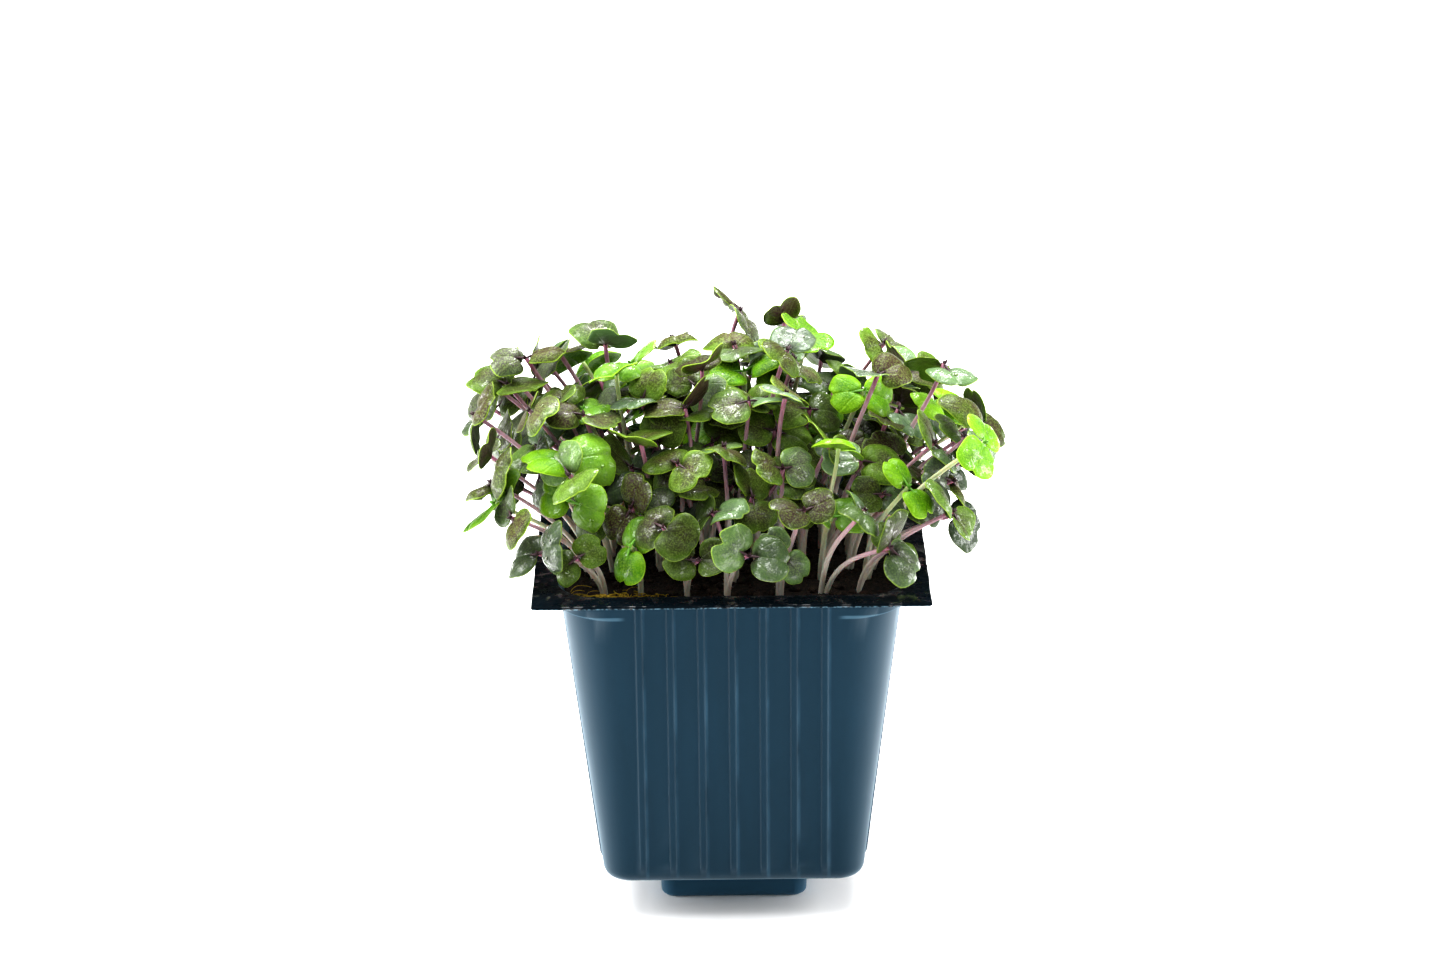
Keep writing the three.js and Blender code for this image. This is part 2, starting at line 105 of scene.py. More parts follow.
# The seedlings, as in the part's source
SEED = 45
TRIES = 150
TUFTS_PER_ROW = 7
TUFT_REACH = 32.3
TUFT_SHAKE = 3
ROOT_DEPTH = 5
HOLE_RADIUS = 3.2
HOLE_SIDES = 6
FULL_HEIGHT = 45
LEAST_HEIGHT = 12
SIDE_DROP = 5
BACK_DROP = 3
FRONT_DROP = 23
FRONT_SLANT = 6
SIDE_LEAN = 19
FRONT_LEAN = 7
STEM_HALF = 0.55
STALK_LENGTH = 1.3
LEAF_LENGTH = (6.8, 8.6)
LEAF_WIDTH = (1.32, 1.52)
LEAF_OVER_RIM = 1.8
STEM_FROM_WALL = 1.5
STEM_FROM_SOIL = 2.2
GREEN_TUFTS = "0 1, 1 5, 1 6, 3 1, 3 5, 4 3, 4 6, 5 4, 6 1".split(", ")

# What is kept clear: leaf to own stem, leaf to leaf, leaf to stem, stem to leaf, stem to stem
Room = namedtuple("Room", "own_stem leaf leaf_to_stem stem_to_leaf stem")
SOLID_ROOM = Room(1.5, 1.9, 2.1, 2.1, 1.9)

# The layers of seedlings between the tufts, which only the fine model has: rows and columns of
# places, seedlings at each, their height beside the tufts' own, and how near the front they may
# stand, from -1 to 1, so that the front row's stems show
FILL_SEED = 4
FILL_ROOM = Room(1.1, 0.8, 0.9, 0.9, 1.2)
Layer = namedtuple("Layer", "rows columns mates stature front")
FILL_LAYERS = [
    Layer(6, 6, 2, (0.8, 1), -0.6),
    Layer(7, 6, 1, (0.45, 0.75), -0.6),
    Layer(6, 7, 1, (0.45, 0.75), -0.6),
    Layer(5, 7, 1, (1, 1.15), 0),
]
FILL_GREEN_EVERY = 13  # about one place in so many has green seedlings
FILL_ROWS_PER_PIECE = 3

# The fine leaves and stems
BLADE_HALF = 0.17
LEAF_SPOKES = 36
LEAF_RINGS = 6
LEAF_MIDDLE = 0.42  # how far along a leaf its rings of points have their middle
STEM_SIDES = 7
STEM_RINGS = 16
STEM_RADIUS = (0.64, 0.44)  # at its foot and at its head
HAIRS_PER_STEM = 34
HAIR_LENGTH = (0.3, 0.6)
HAIR_HALF = 0.035

# How the leaves' forms differ, as shares of a leaf's size
LEAF_LOBE = (-0.03, 0.07)
LEAF_SQUARE = (0, 0.16)
LEAF_NOTCH = (-0.01, 0.09)
LEAF_SKEW = (-0.11, 0.11)
LEAF_FRILL = (0.01, 0.06)
LEAF_RIPPLE = (0.003, 0.01)
LEAF_DOME = (-0.03, 0.1)
LEAF_CURL = (-0.05, 0.22)
LEAF_FOLD = (-0.05, 0.14)

# How the leaves' colours differ
GREENNESS = (-0.15, 1.05)
OWN_GREENNESS = (-0.15, 0.15)  # how far one leaf strays from its seedling's greenness
BRIGHTNESS = {"dark": (0.7, 1.45), "green": (0.85, 1.3)}
LOW_SHADE = 0.56  # painted shade: how bright the lowest leaves are painted beside the highest

# The camera, at the photograph's angle on the middle of the rim's front edge
CAMERA_ELEVATION = math.radians(20)
CAMERA_ROLL = math.radians(-0.6)
CAMERA_DISTANCE = 957.7
CAMERA_ABOVE = 27.95
CAMERA_LEFT = 2.3
CAMERA_LENS = 107.5

# The floor and the light, in metres
FLOOR_HALF = 4
FLOOR_GREY = (0.93, 0.93, 0.93, 1)
OVERHEAD_POWER = 4.6
OVERHEAD_TURN = (math.radians(-10), math.radians(-14), 0)
SOFTBOX_AIM = (0, 0, 0.08)
Softbox = namedtuple("Softbox", "place size power")
SOFTBOXES = {
    "left": Softbox((-0.7, -0.05, 0.3), (0.4, 0.7), 8),
    "right": Softbox((0.7, -0.05, 0.3), (0.4, 0.7), 8),
    "back": Softbox((0.1, 0.62, 0.8), (0.3, 0.2), 6),
    "glint": Softbox((0.2, -0.3, 0.8), (0.07, 0.04), 0.6),
}
PICTURE_EXPOSURE = 0.15
PICTURE_GAMMA = 0.84  # a little more contrast, as the photograph has
ROOM_LOW = 0.12
ROOM_HIGH = 1.1


def seeded(state):
    """A function that draws numbers from 0 to 1, the same ones as the part's source draws."""
    def draw():
        nonlocal state
        state = (state * 1664525 + 1013904223) % 4294967296
        return state / 4294967296
    return draw


def between(limits, share):
    return limits[0] + (limits[1] - limits[0]) * share


def unit(vector):
    x, y, z = vector
    return vector * (1 / math.sqrt(x * x + y * y + z * z))


def smooth(value, start, end):
    """0 before start, 1 after end and a soft step between, for numbers and arrays."""
    share = np.clip((value - start) / (end - start), 0, 1)
    return share * share * (3 - 2 * share)


# Growing the seedlings

Seedling = namedtuple("Seedling", "curve head along leaves")
Leaf = namedtuple("Leaf", "out side up length width droop cup twist")
Tuft = namedtuple("Tuft", "x y turn row column across back stature")


def grid(rows, columns):
    """The places of a grid as wide-spaced as the tufts, and how far across and back each is. The
    tufts' own grid goes from -1 to 1."""
    for row in range(rows):
        for column in range(columns):
            across, back = 2 * column + 1 - columns, 2 * row + 1 - rows
            yield row, column, across / (TUFTS_PER_ROW - 1), back / (TUFTS_PER_ROW - 1)


def tuft_places(draw):
    places = []
    for row, column, across, back in grid(TUFTS_PER_ROW, TUFTS_PER_ROW):
        drawn_in = 1 - 0.12 * across * across * back * back
        shake_x = TUFT_SHAKE * (draw() - 0.5) * (1 - across * across)
        shake_y = TUFT_SHAKE * (draw() - 0.5) * (1 - back * back)
        places.append(Tuft(
            TUFT_REACH * across * drawn_in + shake_x, TUFT_REACH * back * drawn_in + shake_y,
            math.pi * draw(), row, column, across, back, 1))
    return places


def fill_places(layer, draw):
    """The places of one layer, in a grid between the tufts."""
    places = []
    for row, column, across, back in grid(layer.rows, layer.columns):
        places.append(Tuft(
            TUFT_REACH * across, TUFT_REACH * back, math.pi * draw(), row, column, across, back,
            between(layer.stature, draw())))
    return [place for place in places if place.back > layer.front]


def draw_seedling(tuft, mate, attempt, draw):
    """One seedling. The outer rows lean out over the rim and the front ones are the lowest."""
    across, back = tuft.across, tuft.back
    late = attempt / TRIES
    sideways = 1 if mate == 0 else -1
    apart = sideways * np.array([math.cos(tuft.turn), math.sin(tuft.turn), 0])
    drop = FRONT_DROP - FRONT_SLANT * across if back < 0 else BACK_DROP
    full = FULL_HEIGHT - SIDE_DROP * across * across - drop * back * back
    share = (1.08 - 0.3 * draw()) * (1 - 0.25 * mate) * (1 - 0.4 * late)
    height = max(LEAST_HEIGHT, full * share * tuft.stature)
    upright = 1 - 0.35 * late
    lean = np.array([
        SIDE_LEAN * across * abs(across) * upright + 11 * (draw() - 0.5) + 3 * apart[0],
        FRONT_LEAN * back * abs(back) * upright + 10 * (draw() - 0.5) + 3 * apart[1],
        0])
    crown = np.array([tuft.x + 0.25 * apart[0], tuft.y + 0.25 * apart[1], SOIL_LEVEL - ROOT_DEPTH])
    head = crown + lean + np.array([0, 0, ROOT_DEPTH + height])
    along = unit(np.array([
        1.3 * lean[0] + 0.5 * height * (draw() - 0.5),
        1.3 * lean[1] + 0.55 * height * (draw() - 0.7),
        0.8 * height]))
    first_bend = np.array([0.5 * apart[0], 0.5 * apart[1], ROOT_DEPTH + max(9, 0.45 * height)])
    curve = [crown, crown + first_bend, head + along * (-0.38 * height), head]
    turn = math.pi * draw()
    right = unit(np.cross(along, [math.cos(turn), math.sin(turn), 0.31]))
    length = between(LEAF_LENGTH, draw()) * (1 - 0.3 * late)
    width = length * between(LEAF_WIDTH, draw())
    leaves = []
    for way in (1, -1):
        pitch = -0.4 + 1.15 * draw()
        roll = 0.8 * (draw() - 0.5)
        flat = right * way
        out = flat * math.cos(pitch) + along * math.sin(pitch)
        level = unit(np.cross(along, flat))
        normal = np.cross(out, level)
        leaves.append(Leaf(
            out, level * math.cos(roll) + normal * math.sin(roll),
            normal * math.cos(roll) + level * -math.sin(roll),
            length * (0.92 + 0.16 * draw()), width,
            -0.34 + 0.42 * draw(), -0.24 + 0.42 * draw(),
            0.36 * (draw() - 0.5)))
    return Seedling(curve, head, along, leaves)


def leaf_points(seedling, leaf, u, v):
    """Points of a leaf: u runs from the stalk's end to the tip, v from edge to edge, -1 to 1."""
    u, v = np.asarray(u, float)[:, None], np.asarray(v, float)[:, None]
    rise = leaf.droop * u * u + leaf.cup * v * v * (0.5 + 0.5 * u) + leaf.twist * u * v
    spine = seedling.head + leaf.out * (STALK_LENGTH + u * leaf.length)
    return spine + (leaf.side * (v * leaf.width / 2) + leaf.up * (rise * leaf.length))


def curve_points(curve, t):
    t = np.asarray(t, float)[:, None]
    s = 1 - t
    return s * s * s * curve[0] + 3 * s * s * t * curve[1] + 3 * s * t * t * curve[2] + t * t * t * curve[3]


SAMPLE_ROWS = [
    (0.02, (-0.6, -0.2, 0.2, 0.6)), (0.26, (-0.95, -0.4, 0, 0.4, 0.95)),
    (0.5, (-0.9, -0.45, 0, 0.45, 0.9)), (0.74, (-0.7, -0.35, 0, 0.35, 0.7)), (0.92, (-0.3, 0, 0.3))]
SAMPLE_U = [u for u, row in SAMPLE_ROWS for v in row]
SAMPLE_V = [v for u, row in SAMPLE_ROWS for v in row]
STEM_SAMPLES = np.arange(30) / 29


def closer_than(some, others, distance):
    if len(some) == 0 or len(others) == 0:
        return False
    low, high = some.min(0) - distance, some.max(0) + distance
    near = others[((others > low) & (others < high)).all(1)]
    apart = some[:, None] - near[None]
    return bool((apart[..., 0] ** 2 + apart[..., 1] ** 2 + apart[..., 2] ** 2 < distance * distance).any())


def stem_is_inside(tuft, whole):
    """Whether a stem stays off the pot's wall, and near its root well inside its hole."""
    flat = MOUTH_WIDTH / 2 - SHEET - CORNER_RADIUS
    out = np.maximum(0, np.abs(whole[:, :2]) - flat)
    off_wall = (whole[:, 2] > POT_HEIGHT + STEM_FROM_WALL) | (
        np.hypot(out[:, 0], out[:, 1]) < CORNER_RADIUS - STEM_FROM_WALL)
    room = HOLE_RADIUS * math.cos(math.pi / HOLE_SIDES) - 1.8 * STEM_HALF - SOIL_GAP
    in_hole = (whole[:, 2] > SOIL_LEVEL + STEM_FROM_SOIL) | (
        np.hypot(whole[:, 0] - tuft.x, whole[:, 1] - tuft.y) < room)
    return bool((off_wall & in_hole).all())


def grow(tufts, mates, room, grown, draw):
    """Grows seedlings at the tufts, and draws one again until it is clear of the others.
    Gives the seedlings of each tuft. grown holds the leaf and stem points so far."""
    seedlings = {}
    for tuft in sorted(tufts, key=lambda tuft: -max(abs(tuft.across), abs(tuft.back))):
        own, stems = [], np.empty((0, 3))
        for mate in range(mates):
            for attempt in range(TRIES):
                seedling = draw_seedling(tuft, mate, attempt, draw)
                whole = curve_points(seedling.curve, STEM_SAMPLES)
                if not stem_is_inside(tuft, whole):
                    continue
                leaf = np.concatenate([
                    leaf_points(seedling, one, SAMPLE_U, SAMPLE_V) for one in seedling.leaves])
                stem = whole[whole[:, 2] > POT_HEIGHT]
                if (
                    not (leaf[:, 2] > POT_HEIGHT + LEAF_OVER_RIM).all()
                    or closer_than(leaf, stem[:-5], room.own_stem)
                    or closer_than(leaf, grown["leaf"], room.leaf)
                    or closer_than(leaf, np.concatenate([grown["stem"], stems]), room.leaf_to_stem)
                    or closer_than(stem, grown["leaf"], room.stem_to_leaf)
                    or closer_than(stem, grown["stem"], room.stem)
                ):
                    continue
                grown["leaf"] = np.concatenate([grown["leaf"], leaf])
                stems = np.concatenate([stems, stem])
                own.append(seedling)
                break
        grown["stem"] = np.concatenate([grown["stem"], stems])
        seedlings[tuft] = own
    return seedlings


# Making meshes

def new_object(name, data):
    made = bpy.data.objects.new(name, data)
    bpy.context.scene.collection.objects.link(made)
    return made


def circle(sides, across, front):
    """Points round a circle, from across towards front."""
    angles = np.arange(sides)[:, None] * 2 * math.pi / sides
    return np.cos(angles) * across + np.sin(angles) * front


class Shape:
    """Points and faces for one mesh, with what the materials read at each point: its place on
    the leaf, stem or soil, and the tint (greenness, brightness with its painted shade, wetness) of its
    leaf."""

    def __init__(self):
        self.points, self.places, self.tints = [], [], []
        self.faces, self.slots = [], []
        self.count = 0

    def add(self, points, faces, slots=0, place=(0, 0, 0), tint=(0, 1, 0)):
        self.points.append(points)
        self.places.append(np.broadcast_to(place, points.shape))
        self.tints.append(np.broadcast_to(tint, points.shape))
        self.faces += [tuple(corner + self.count for corner in face) for face in faces]
        self.slots += [slots] * len(faces) if isinstance(slots, int) else slots
        self.count += len(points)

    def tube(self, path, radii, sides, slot=0, place=(0, 0, 0), across=(1, 0.13, 0.07)):
        """A closed tube round a path. across is the direction that its first side faces."""
        rings = []
        for centre, slope, radius in zip(path, np.gradient(path, axis=0), radii):
            slope = unit(slope)
            across = unit(across - slope * (across @ slope))
            rings.append(centre + radius * circle(sides, across, np.cross(slope, across)))
        self.add(np.concatenate(rings), ring_faces(len(path), sides), slot, place)

    def piece(self, name, materials):
        mesh = bpy.data.meshes.new(name)
        mesh.from_pydata((np.concatenate(self.points) * MM).tolist(), [], self.faces)
        for attribute, values in (("place", self.places), ("tint", self.tints)):
            flat = np.concatenate(values).astype(np.float32).ravel()
            mesh.attributes.new(attribute, "FLOAT_VECTOR", "POINT").data.foreach_set("vector", flat)
        for material in materials:
            mesh.materials.append(material)
        mesh.polygons.foreach_set("material_index", self.slots)
        mesh.polygons.foreach_set("use_smooth", [True] * len(mesh.polygons))
        mesh.update()
        return new_object(name, mesh)


def ring_faces(rings, sides):
    """Faces between stacked rings of points and over both ends, facing outwards where the rings
    run anticlockwise round the way that the stack goes."""
    faces = []
    for ring in range(rings - 1):
        for side in range(sides):
            a = ring * sides + side
            b = ring * sides + (side + 1) % sides
            faces.append((a, b, b + sides, a + sides))
    faces.append(tuple(reversed(range(sides))))
    faces.append(tuple(range((rings - 1) * sides, rings * sides)))
    return faces


def wave_noise(points, size, seed=0):
    """Smooth noise from about -1 to 1 at each point, with waves of about that size."""
    shift = Vector((seed * 17.3, seed * 5.1, seed * 9.7))
    return np.array([noise.noise(Vector(point) / size + shift) for point in points])


def apply_modifiers(piece):
    ready = piece.evaluated_get(bpy.context.evaluated_depsgraph_get())
    piece.data = bpy.data.meshes.new_from_object(ready)
    piece.modifiers.clear()


# Making materials

def paint_of(code):
    """The linear colour of a six-digit sRGB code."""
    parts = [int(code[i:i + 2], 16) / 255 for i in (0, 2, 4)]
    return [part / 12.92 if part < 0.04045 else ((part + 0.055) / 1.055) ** 2.4 for part in parts] + [1]


class Nodes:
    """Short calls that make and join the nodes of a tree."""

    def __init__(self, tree):
        self.tree = tree

    def join(self, socket, value):
        if isinstance(value, bpy.types.NodeSocket):
            self.tree.links.new(value, socket)
        else:
            socket.default_value = value

    def node(self, kind, inputs, output=0, **settings):
        made = self.tree.nodes.new("ShaderNode" + kind)
        for setting, value in settings.items():
            setattr(made, setting, value)
        for socket, value in inputs.items():
            self.join(made.inputs[socket], value)
        return made.outputs[output]

    def split(self, vector):
        return self.node("SeparateXYZ", {0: vector}).node.outputs


class Paint(Nodes):
    """A material, with short calls for its nodes. Sizes are in millimetres."""

    def __init__(self, name, **sockets):
        self.material = bpy.data.materials.new(name)
        self.material.use_nodes = True
        super().__init__(self.material.node_tree)
        self.shader = self.tree.nodes["Principled BSDF"]
        self.where = self.node("TexCoord", {}, "Object")
        self.normal = None
        self.set(**sockets)

    def set(self, **sockets):
        for socket, value in sockets.items():
            name = socket.replace("_", " ").title().replace("Ior", "IOR")
            self.join(self.shader.inputs[name], value)

    def parts(self, attribute):
        """The three numbers of one of the mesh's attributes."""
        return self.split(self.node("Attribute", {}, "Vector", attribute_name=attribute))

    def math(self, operation, *values, clamp=False):
        return self.node("Math", dict(enumerate(values)), operation=operation, use_clamp=clamp)

    def line(self, value, slope, start, clamp=False):
        """value times slope, plus start."""
        return self.math("MULTIPLY_ADD", value, slope, start, clamp=clamp)

    def times(self, first, *others):
        for other in others:
            first = self.math("MULTIPLY", first, other)
        return first

    def step(self, value, start, end):
        """0 up to start and 1 from end on, softly, in either direction."""
        inputs = {"Value": value, "From Min": start, "From Max": end}
        return self.node("MapRange", inputs, interpolation_type="SMOOTHSTEP")

    def mix(self, share, low, high, most=None):
        """From low to high as share goes from 0 to 1. most is how much of high there is at 1."""
        share = self.times(share, most) if most else share
        low, high = (paint_of(one) if isinstance(one, str) else one for one in (low, high))
        return self.node("Mix", {0: share, 6: low, 7: high}, 2, data_type="RGBA")

    def stretched(self, x, y, z):
        return self.node("VectorMath", {0: self.where, 1: (x, y, z)}, operation="MULTIPLY")

    def noise(self, size, detail=2, where=None):
        inputs = {"Vector": where or self.where, "Scale": 1 / (size * MM), "Detail": detail}
        return self.node("TexNoise", inputs)

    def cells(self, size):
        """The distance to the nearest of scattered points, about 0 to 0.8, soft between them."""
        inputs = {"Vector": self.where, "Scale": 1 / (size * MM), "Smoothness": 0.4}
        return self.node("TexVoronoi", inputs, "Distance", feature="SMOOTH_F1")

    def bump(self, height, depth):
        """Raises the surface by height, 0 to 1, times depth."""
        inputs = {"Height": height, "Distance": depth * MM, "Strength": 1}
        if self.normal:
            inputs["Normal"] = self.normal
        self.normal = self.node("Bump", inputs)
        self.set(normal=self.normal)


def rib_highlight(paint, along, z):
    """How strong the painted highlight is along one edge of each rib. along is the distance along a side
    from its middle.
    """
    from_edge = paint.math("PINGPONG", paint.math("ADD", along, -RIB_FOOT * MM), RIB_PITCH / 2 * MM)
    at_edge = paint.step(from_edge, 0.65 * MM, 0.1 * MM)
    from_middle = paint.math("ABSOLUTE", along)
    among_ribs = paint.step(from_middle, (RIBBED_HALF + 0.2) * MM, (RIBBED_HALF - 0.2) * MM)
    over_foot = paint.step(z, FOOT_HEIGHT * MM, (FOOT_HEIGHT + 2) * MM)
    highlight_strength = paint.line(paint.noise(14, 2), 0.6, -0.19)
    return paint.times(at_edge, among_ribs, over_foot, highlight_strength)


def ledge_highlight(paint, along, z):
    """How strong the painted highlight is on the ledges where the collar's sharper corners start."""
    ledge = (POT_HEIGHT - COLLAR_HEIGHT - COLLAR_STEP / 2) * MM
    from_ledge = paint.math("ABSOLUTE", paint.math("ADD", z, -ledge))
    on_ledge = paint.step(from_ledge, 0.6 * MM, 0.2 * MM)
    from_middle = paint.math("ABSOLUTE", along)
    in_corner = paint.step(from_middle, (RIBBED_HALF + 0.5) * MM, (RIBBED_HALF + 3) * MM)
    return paint.times(on_ledge, in_corner, 0.3)


def wall_paint():
    """Slate-blue plastic with a soft sheen and upward streaks. It is paler down the foot as painted
    light, and carries painted highlights along one edge of each rib and on the collar's ledges."""
    paint = Paint(
        "pot_wall", specular_ior_level=1, specular_tint=(0.05, 0.172, 0.28, 1),
        sheen_weight=0.36, sheen_roughness=0.5, sheen_tint=paint_of("a9d4ec"))
    streaks = paint.noise(2.5, 3, paint.stretched(1, 1, 0.03))
    colour = paint.mix(paint.noise(24, 1), "051620", "081e2b")
    colour = paint.mix(streaks, colour, "030c12", 0.6)

    x, y, z = paint.split(paint.where)
    wide, deep = paint.math("ABSOLUTE", x), paint.math("ABSOLUTE", y)
    along = paint.node("Mix", {0: paint.math("GREATER_THAN", deep, wide), 2: y, 3: x})
    # painted light: the foot grows paler towards its underside
    colour = paint.mix(paint.step(z, FOOT_HEIGHT * MM, 0), colour, "26495e")
    # painted highlight: a pale line along one edge of each rib
    colour = paint.mix(rib_highlight(paint, along, z), colour, "4f7186")
    # painted highlight on the collar's ledges at the corners
    colour = paint.mix(ledge_highlight(paint, along, z), colour, "6f93a6")
    smear = paint.noise(9, 1, paint.stretched(1, 1, 0.25))
    paint.set(base_color=colour, roughness=paint.line(smear, 0.1, 0.38))
    paint.bump(paint.noise(0.4, 3), 0.004)
    return paint.material


def rim_paint():
    """The same plastic where it is near black, glossy and uneven, with a painted highlight: a
    broken pale line along the lower side of its cut edge."""
    paint = Paint("pot_rim", specular_ior_level=0.02, coat_roughness=0.1)
    colour = paint.mix(paint.noise(5, 3), "02070a", "07131b")
    z = paint.split(paint.where)[2]
    # painted highlight along the lower side of the cut edge, broken into dots
    low = paint.step(z, (POT_HEIGHT - 0.62 * SHEET) * MM, (POT_HEIGHT - SHEET) * MM)
    highlight_dots = paint.step(paint.noise(0.7, 4), 0.35, 0.7)
    colour = paint.mix(paint.times(low, highlight_dots), colour, "5f7d8b")
    glossy = paint.step(paint.noise(2.6, 3), 0.52, 0.64)
    paint.set(base_color=colour, roughness=paint.line(paint.noise(3, 3), 0.4, 0.1), coat_weight=glossy)
    paint.bump(paint.noise(3.5, 2), 0.25)
    paint.bump(paint.noise(0.9, 3), 0.05)
    return paint.material


def soil_paint():
    """Dark peat with paler crumbs, and a patch of golden fibre where place says so."""
    paint = Paint("soil", specular_ior_level=0.2)
    golden, shade, _ = paint.parts("place")
    grain = paint.noise(0.9, 5)
    peat = paint.mix(paint.step(grain, 0.35, 0.7), "0a0705", "281c12")
    peat = paint.mix(paint.step(paint.noise(0.45, 2), 0.62, 0.75), peat, "4d3a28")
    peat = paint.mix(shade, peat, "352418", 0.35)
    fibre = paint.mix(paint.noise(0.6, 4, paint.stretched(1, 0.2, 1)), "75601a", "cdb03a")
    share = paint.times(golden, paint.math("ADD", grain, 0.55))
    colour = paint.mix(paint.step(share, 0.3, 0.75), peat, fibre)
    paint.set(base_color=colour, roughness=paint.line(grain, -0.35, 1.0))
    paint.bump(grain, 0.5)
    paint.bump(paint.noise(0.3, 3), 0.15)
    return paint.material


# the last colour of each set is a painted sheen, a pale reflection colour
Leafage = namedtuple("Leafage", "blush deep fresh light node margin film")
DARK_LEAF = Leafage("36201d", "323c0c", "4c6a14", "8fa950", "1d080b", "9ab83a", "76937f")
DARK_UNDER = Leafage("43282b", "3a450c", "506e18", "677a34", "331620", "8aa53c", "76937f")
GREEN_LEAF = Leafage("356002", "4c8402", "6c9e04", "a2cc34", "4a7c08", "aed83a", "8fbf50")
GREEN_UNDER = Leafage("4c7810", "5c8e12", "78a622", "94bc44", "6a8a30", "9ad046", "8fbf50")
DARK_STEM = ("d2cdbd", "b08f98", "84445e")  # from its foot to its head
GREEN_STEM = ("c9c9b4", "b7bd92", "8fa85a")
DARK_BUD = ("1f0d12", "45212a")
GREEN_BUD = ("3f7a1c", "7fb83a")


def leaf_colour(paint, colours, green, clouds):
    """From blush through deep to fresh as green goes from 0 to 1, in soft clouds."""
    share = paint.math("ADD", green, clouds)
    low = paint.math("MULTIPLY", share, 2, clamp=True)
    high = paint.line(share, 2, -1, clamp=True)
    return paint.mix(high, paint.mix(low, colours.blush, colours.deep), colours.fresh)


def leaf_paint(name, colours, gloss):
    """One side of a leaf: clouded, dark in the middle and green outwards, speckled, greyed on the
    wetter leaves by a painted sheen, with faint veins, dark at the stalk, pale at the very edge,
    finely pebbled, and wet in spots."""
    paint = Paint(name, specular_ior_level=0.16, coat_roughness=0.05)
    u, v, far = paint.parts("place")
    green, bright, wet = paint.parts("tint")
    clouds = paint.line(paint.noise(4.5, 1), 1.5, -0.75)
    outward = paint.line(paint.times(far, far), 0.75, -0.3)
    colour = leaf_colour(paint, colours, green, paint.math("ADD", clouds, outward))
    mottle = paint.step(paint.noise(0.36, 5), 0.38, 0.78)
    colour = paint.mix(mottle, colour, colours.light, 0.5)
    speckle = paint.step(paint.noise(0.24, 2), 0.5, 0.65)
    colour = paint.mix(speckle, colour, colours.blush, 0.25)
    # painted sheen: the wetter leaves are greyed towards a pale reflection colour
    film = paint.step(wet, 0.4, 1.05)
    colour = paint.mix(film, colour, colours.film, 0.38)

    aside = paint.math("ABSOLUTE", v)
    reach = paint.math("SQRT", paint.math("ADD", paint.times(u, u), paint.times(aside, aside, 0.5)))
    angle = paint.math("ARCTAN2", paint.times(aside, 0.8), paint.math("ADD", u, 0.15))
    from_vein = paint.times(paint.math("PINGPONG", angle, 0.35), paint.math("ADD", reach, 0.2))
    vein = paint.step(from_vein, 0.06, 0.0)
    colour = paint.mix(vein, colour, colours.light, 0.08)

    blush = paint.step(paint.line(clouds, 0.12, reach), 0.3, 0.0)
    colour = paint.mix(blush, colour, colours.node, 0.8)
    edge = paint.step(far, 0.965, 1.0)
    colour = paint.mix(edge, colour, colours.margin, 0.6)
    # bright holds each leaf's random tone together with its painted shade
    colour = paint.node("HueSaturation", {"Color": colour, "Value": bright})

    damp = paint.step(paint.line(wet, 0.2, paint.noise(2.0, 4)), 0.65, 0.7)
    grain = paint.noise(0.35, 3)
    roughness = paint.line(grain, 0.2, 0.28)
    paint.set(base_color=colour, roughness=roughness, coat_weight=paint.times(damp, gloss))
    paint.bump(vein, -0.06)
    paint.bump(paint.noise(1.3, 2), 0.16)
    paint.bump(grain, 0.08)
    beads = {"Height": paint.cells(0.7), "Distance": -0.14 * MM, "Normal": paint.normal}
    paint.set(coat_normal=paint.node("Bump", beads))
    return paint.material


def drop_paint(name, colours):
    """A drop of water, which shows the leaf under it darker and glossy, and paler towards its foot as
    painted light.
    """
    paint = Paint(name, roughness=0.03, coat_weight=1, coat_roughness=0.02, specular_ior_level=0.6)
    green, bright, _ = paint.parts("tint")
    colour = leaf_colour(paint, colours, green, 0)
    # painted light: the drop is paler towards its foot
    rim = paint.step(paint.parts("place")[2], 0.3, 1.0)
    colour = paint.mix(rim, colour, colours.light, 0.4)
    colour = paint.mix(paint.noise(0.3, 2), colour, "10180c", 0.3)
    paint.set(base_color=paint.node("HueSaturation", {"Color": colour, "Value": bright}))
    return paint.material


def stem_paint(name, foot, middle, head):
    """A stem or stalk: pale at its foot and coloured at its head. place holds how far up it is."""
    paint = Paint(name, subsurface_weight=0.25, subsurface_scale=0.001)
    up, shade, _ = paint.parts("place")
    streaks = paint.noise(0.7, 3, paint.stretched(1, 1, 0.08))
    along = paint.line(streaks, 0.35, up)
    colour = paint.mix(paint.step(along, 0.4, 0.95), foot, middle)
    colour = paint.mix(paint.step(along, 0.85, 1.25), colour, head)
    colour = paint.mix(shade, colour, "f4efe6", 0.5)
    paint.set(base_color=colour, roughness=paint.line(streaks, 0.3, 0.25))
    paint.bump(streaks, 0.08)
    paint.bump(paint.noise(0.25, 2), 0.03)
    return paint.material


def bud_paint(name, low, high):
    """The folded first true leaves."""
    paint = Paint(name, roughness=0.4)
    paint.set(base_color=paint.mix(paint.noise(0.6, 3), low, high))
    paint.bump(paint.noise(0.3, 3), 0.12)
    return paint.material


def basil_paints(colour, leaf, under, stem, bud):
    """The materials of one colour of seedlings, in the order of their slots."""
    return [
        leaf_paint(f"leaf_{colour}", leaf, 1), leaf_paint(f"leaf_{colour}_under", under, 0.3),
        stem_paint(f"stem_{colour}", *stem), bud_paint(f"bud_{colour}", *bud),
        drop_paint(f"drop_{colour}", leaf)]


# The pot

def wall_half(z):
    share = (z - FOOT_HEIGHT) / (POT_HEIGHT - FOOT_HEIGHT)
    return between((FLOOR_WIDTH, WALL_MOUTH), share) / 2


def wall_corner(z):
    share = (z - FOOT_HEIGHT) / (POT_HEIGHT - FOOT_HEIGHT)
    return between((FLOOR_CORNER, CORNER_RADIUS), share)


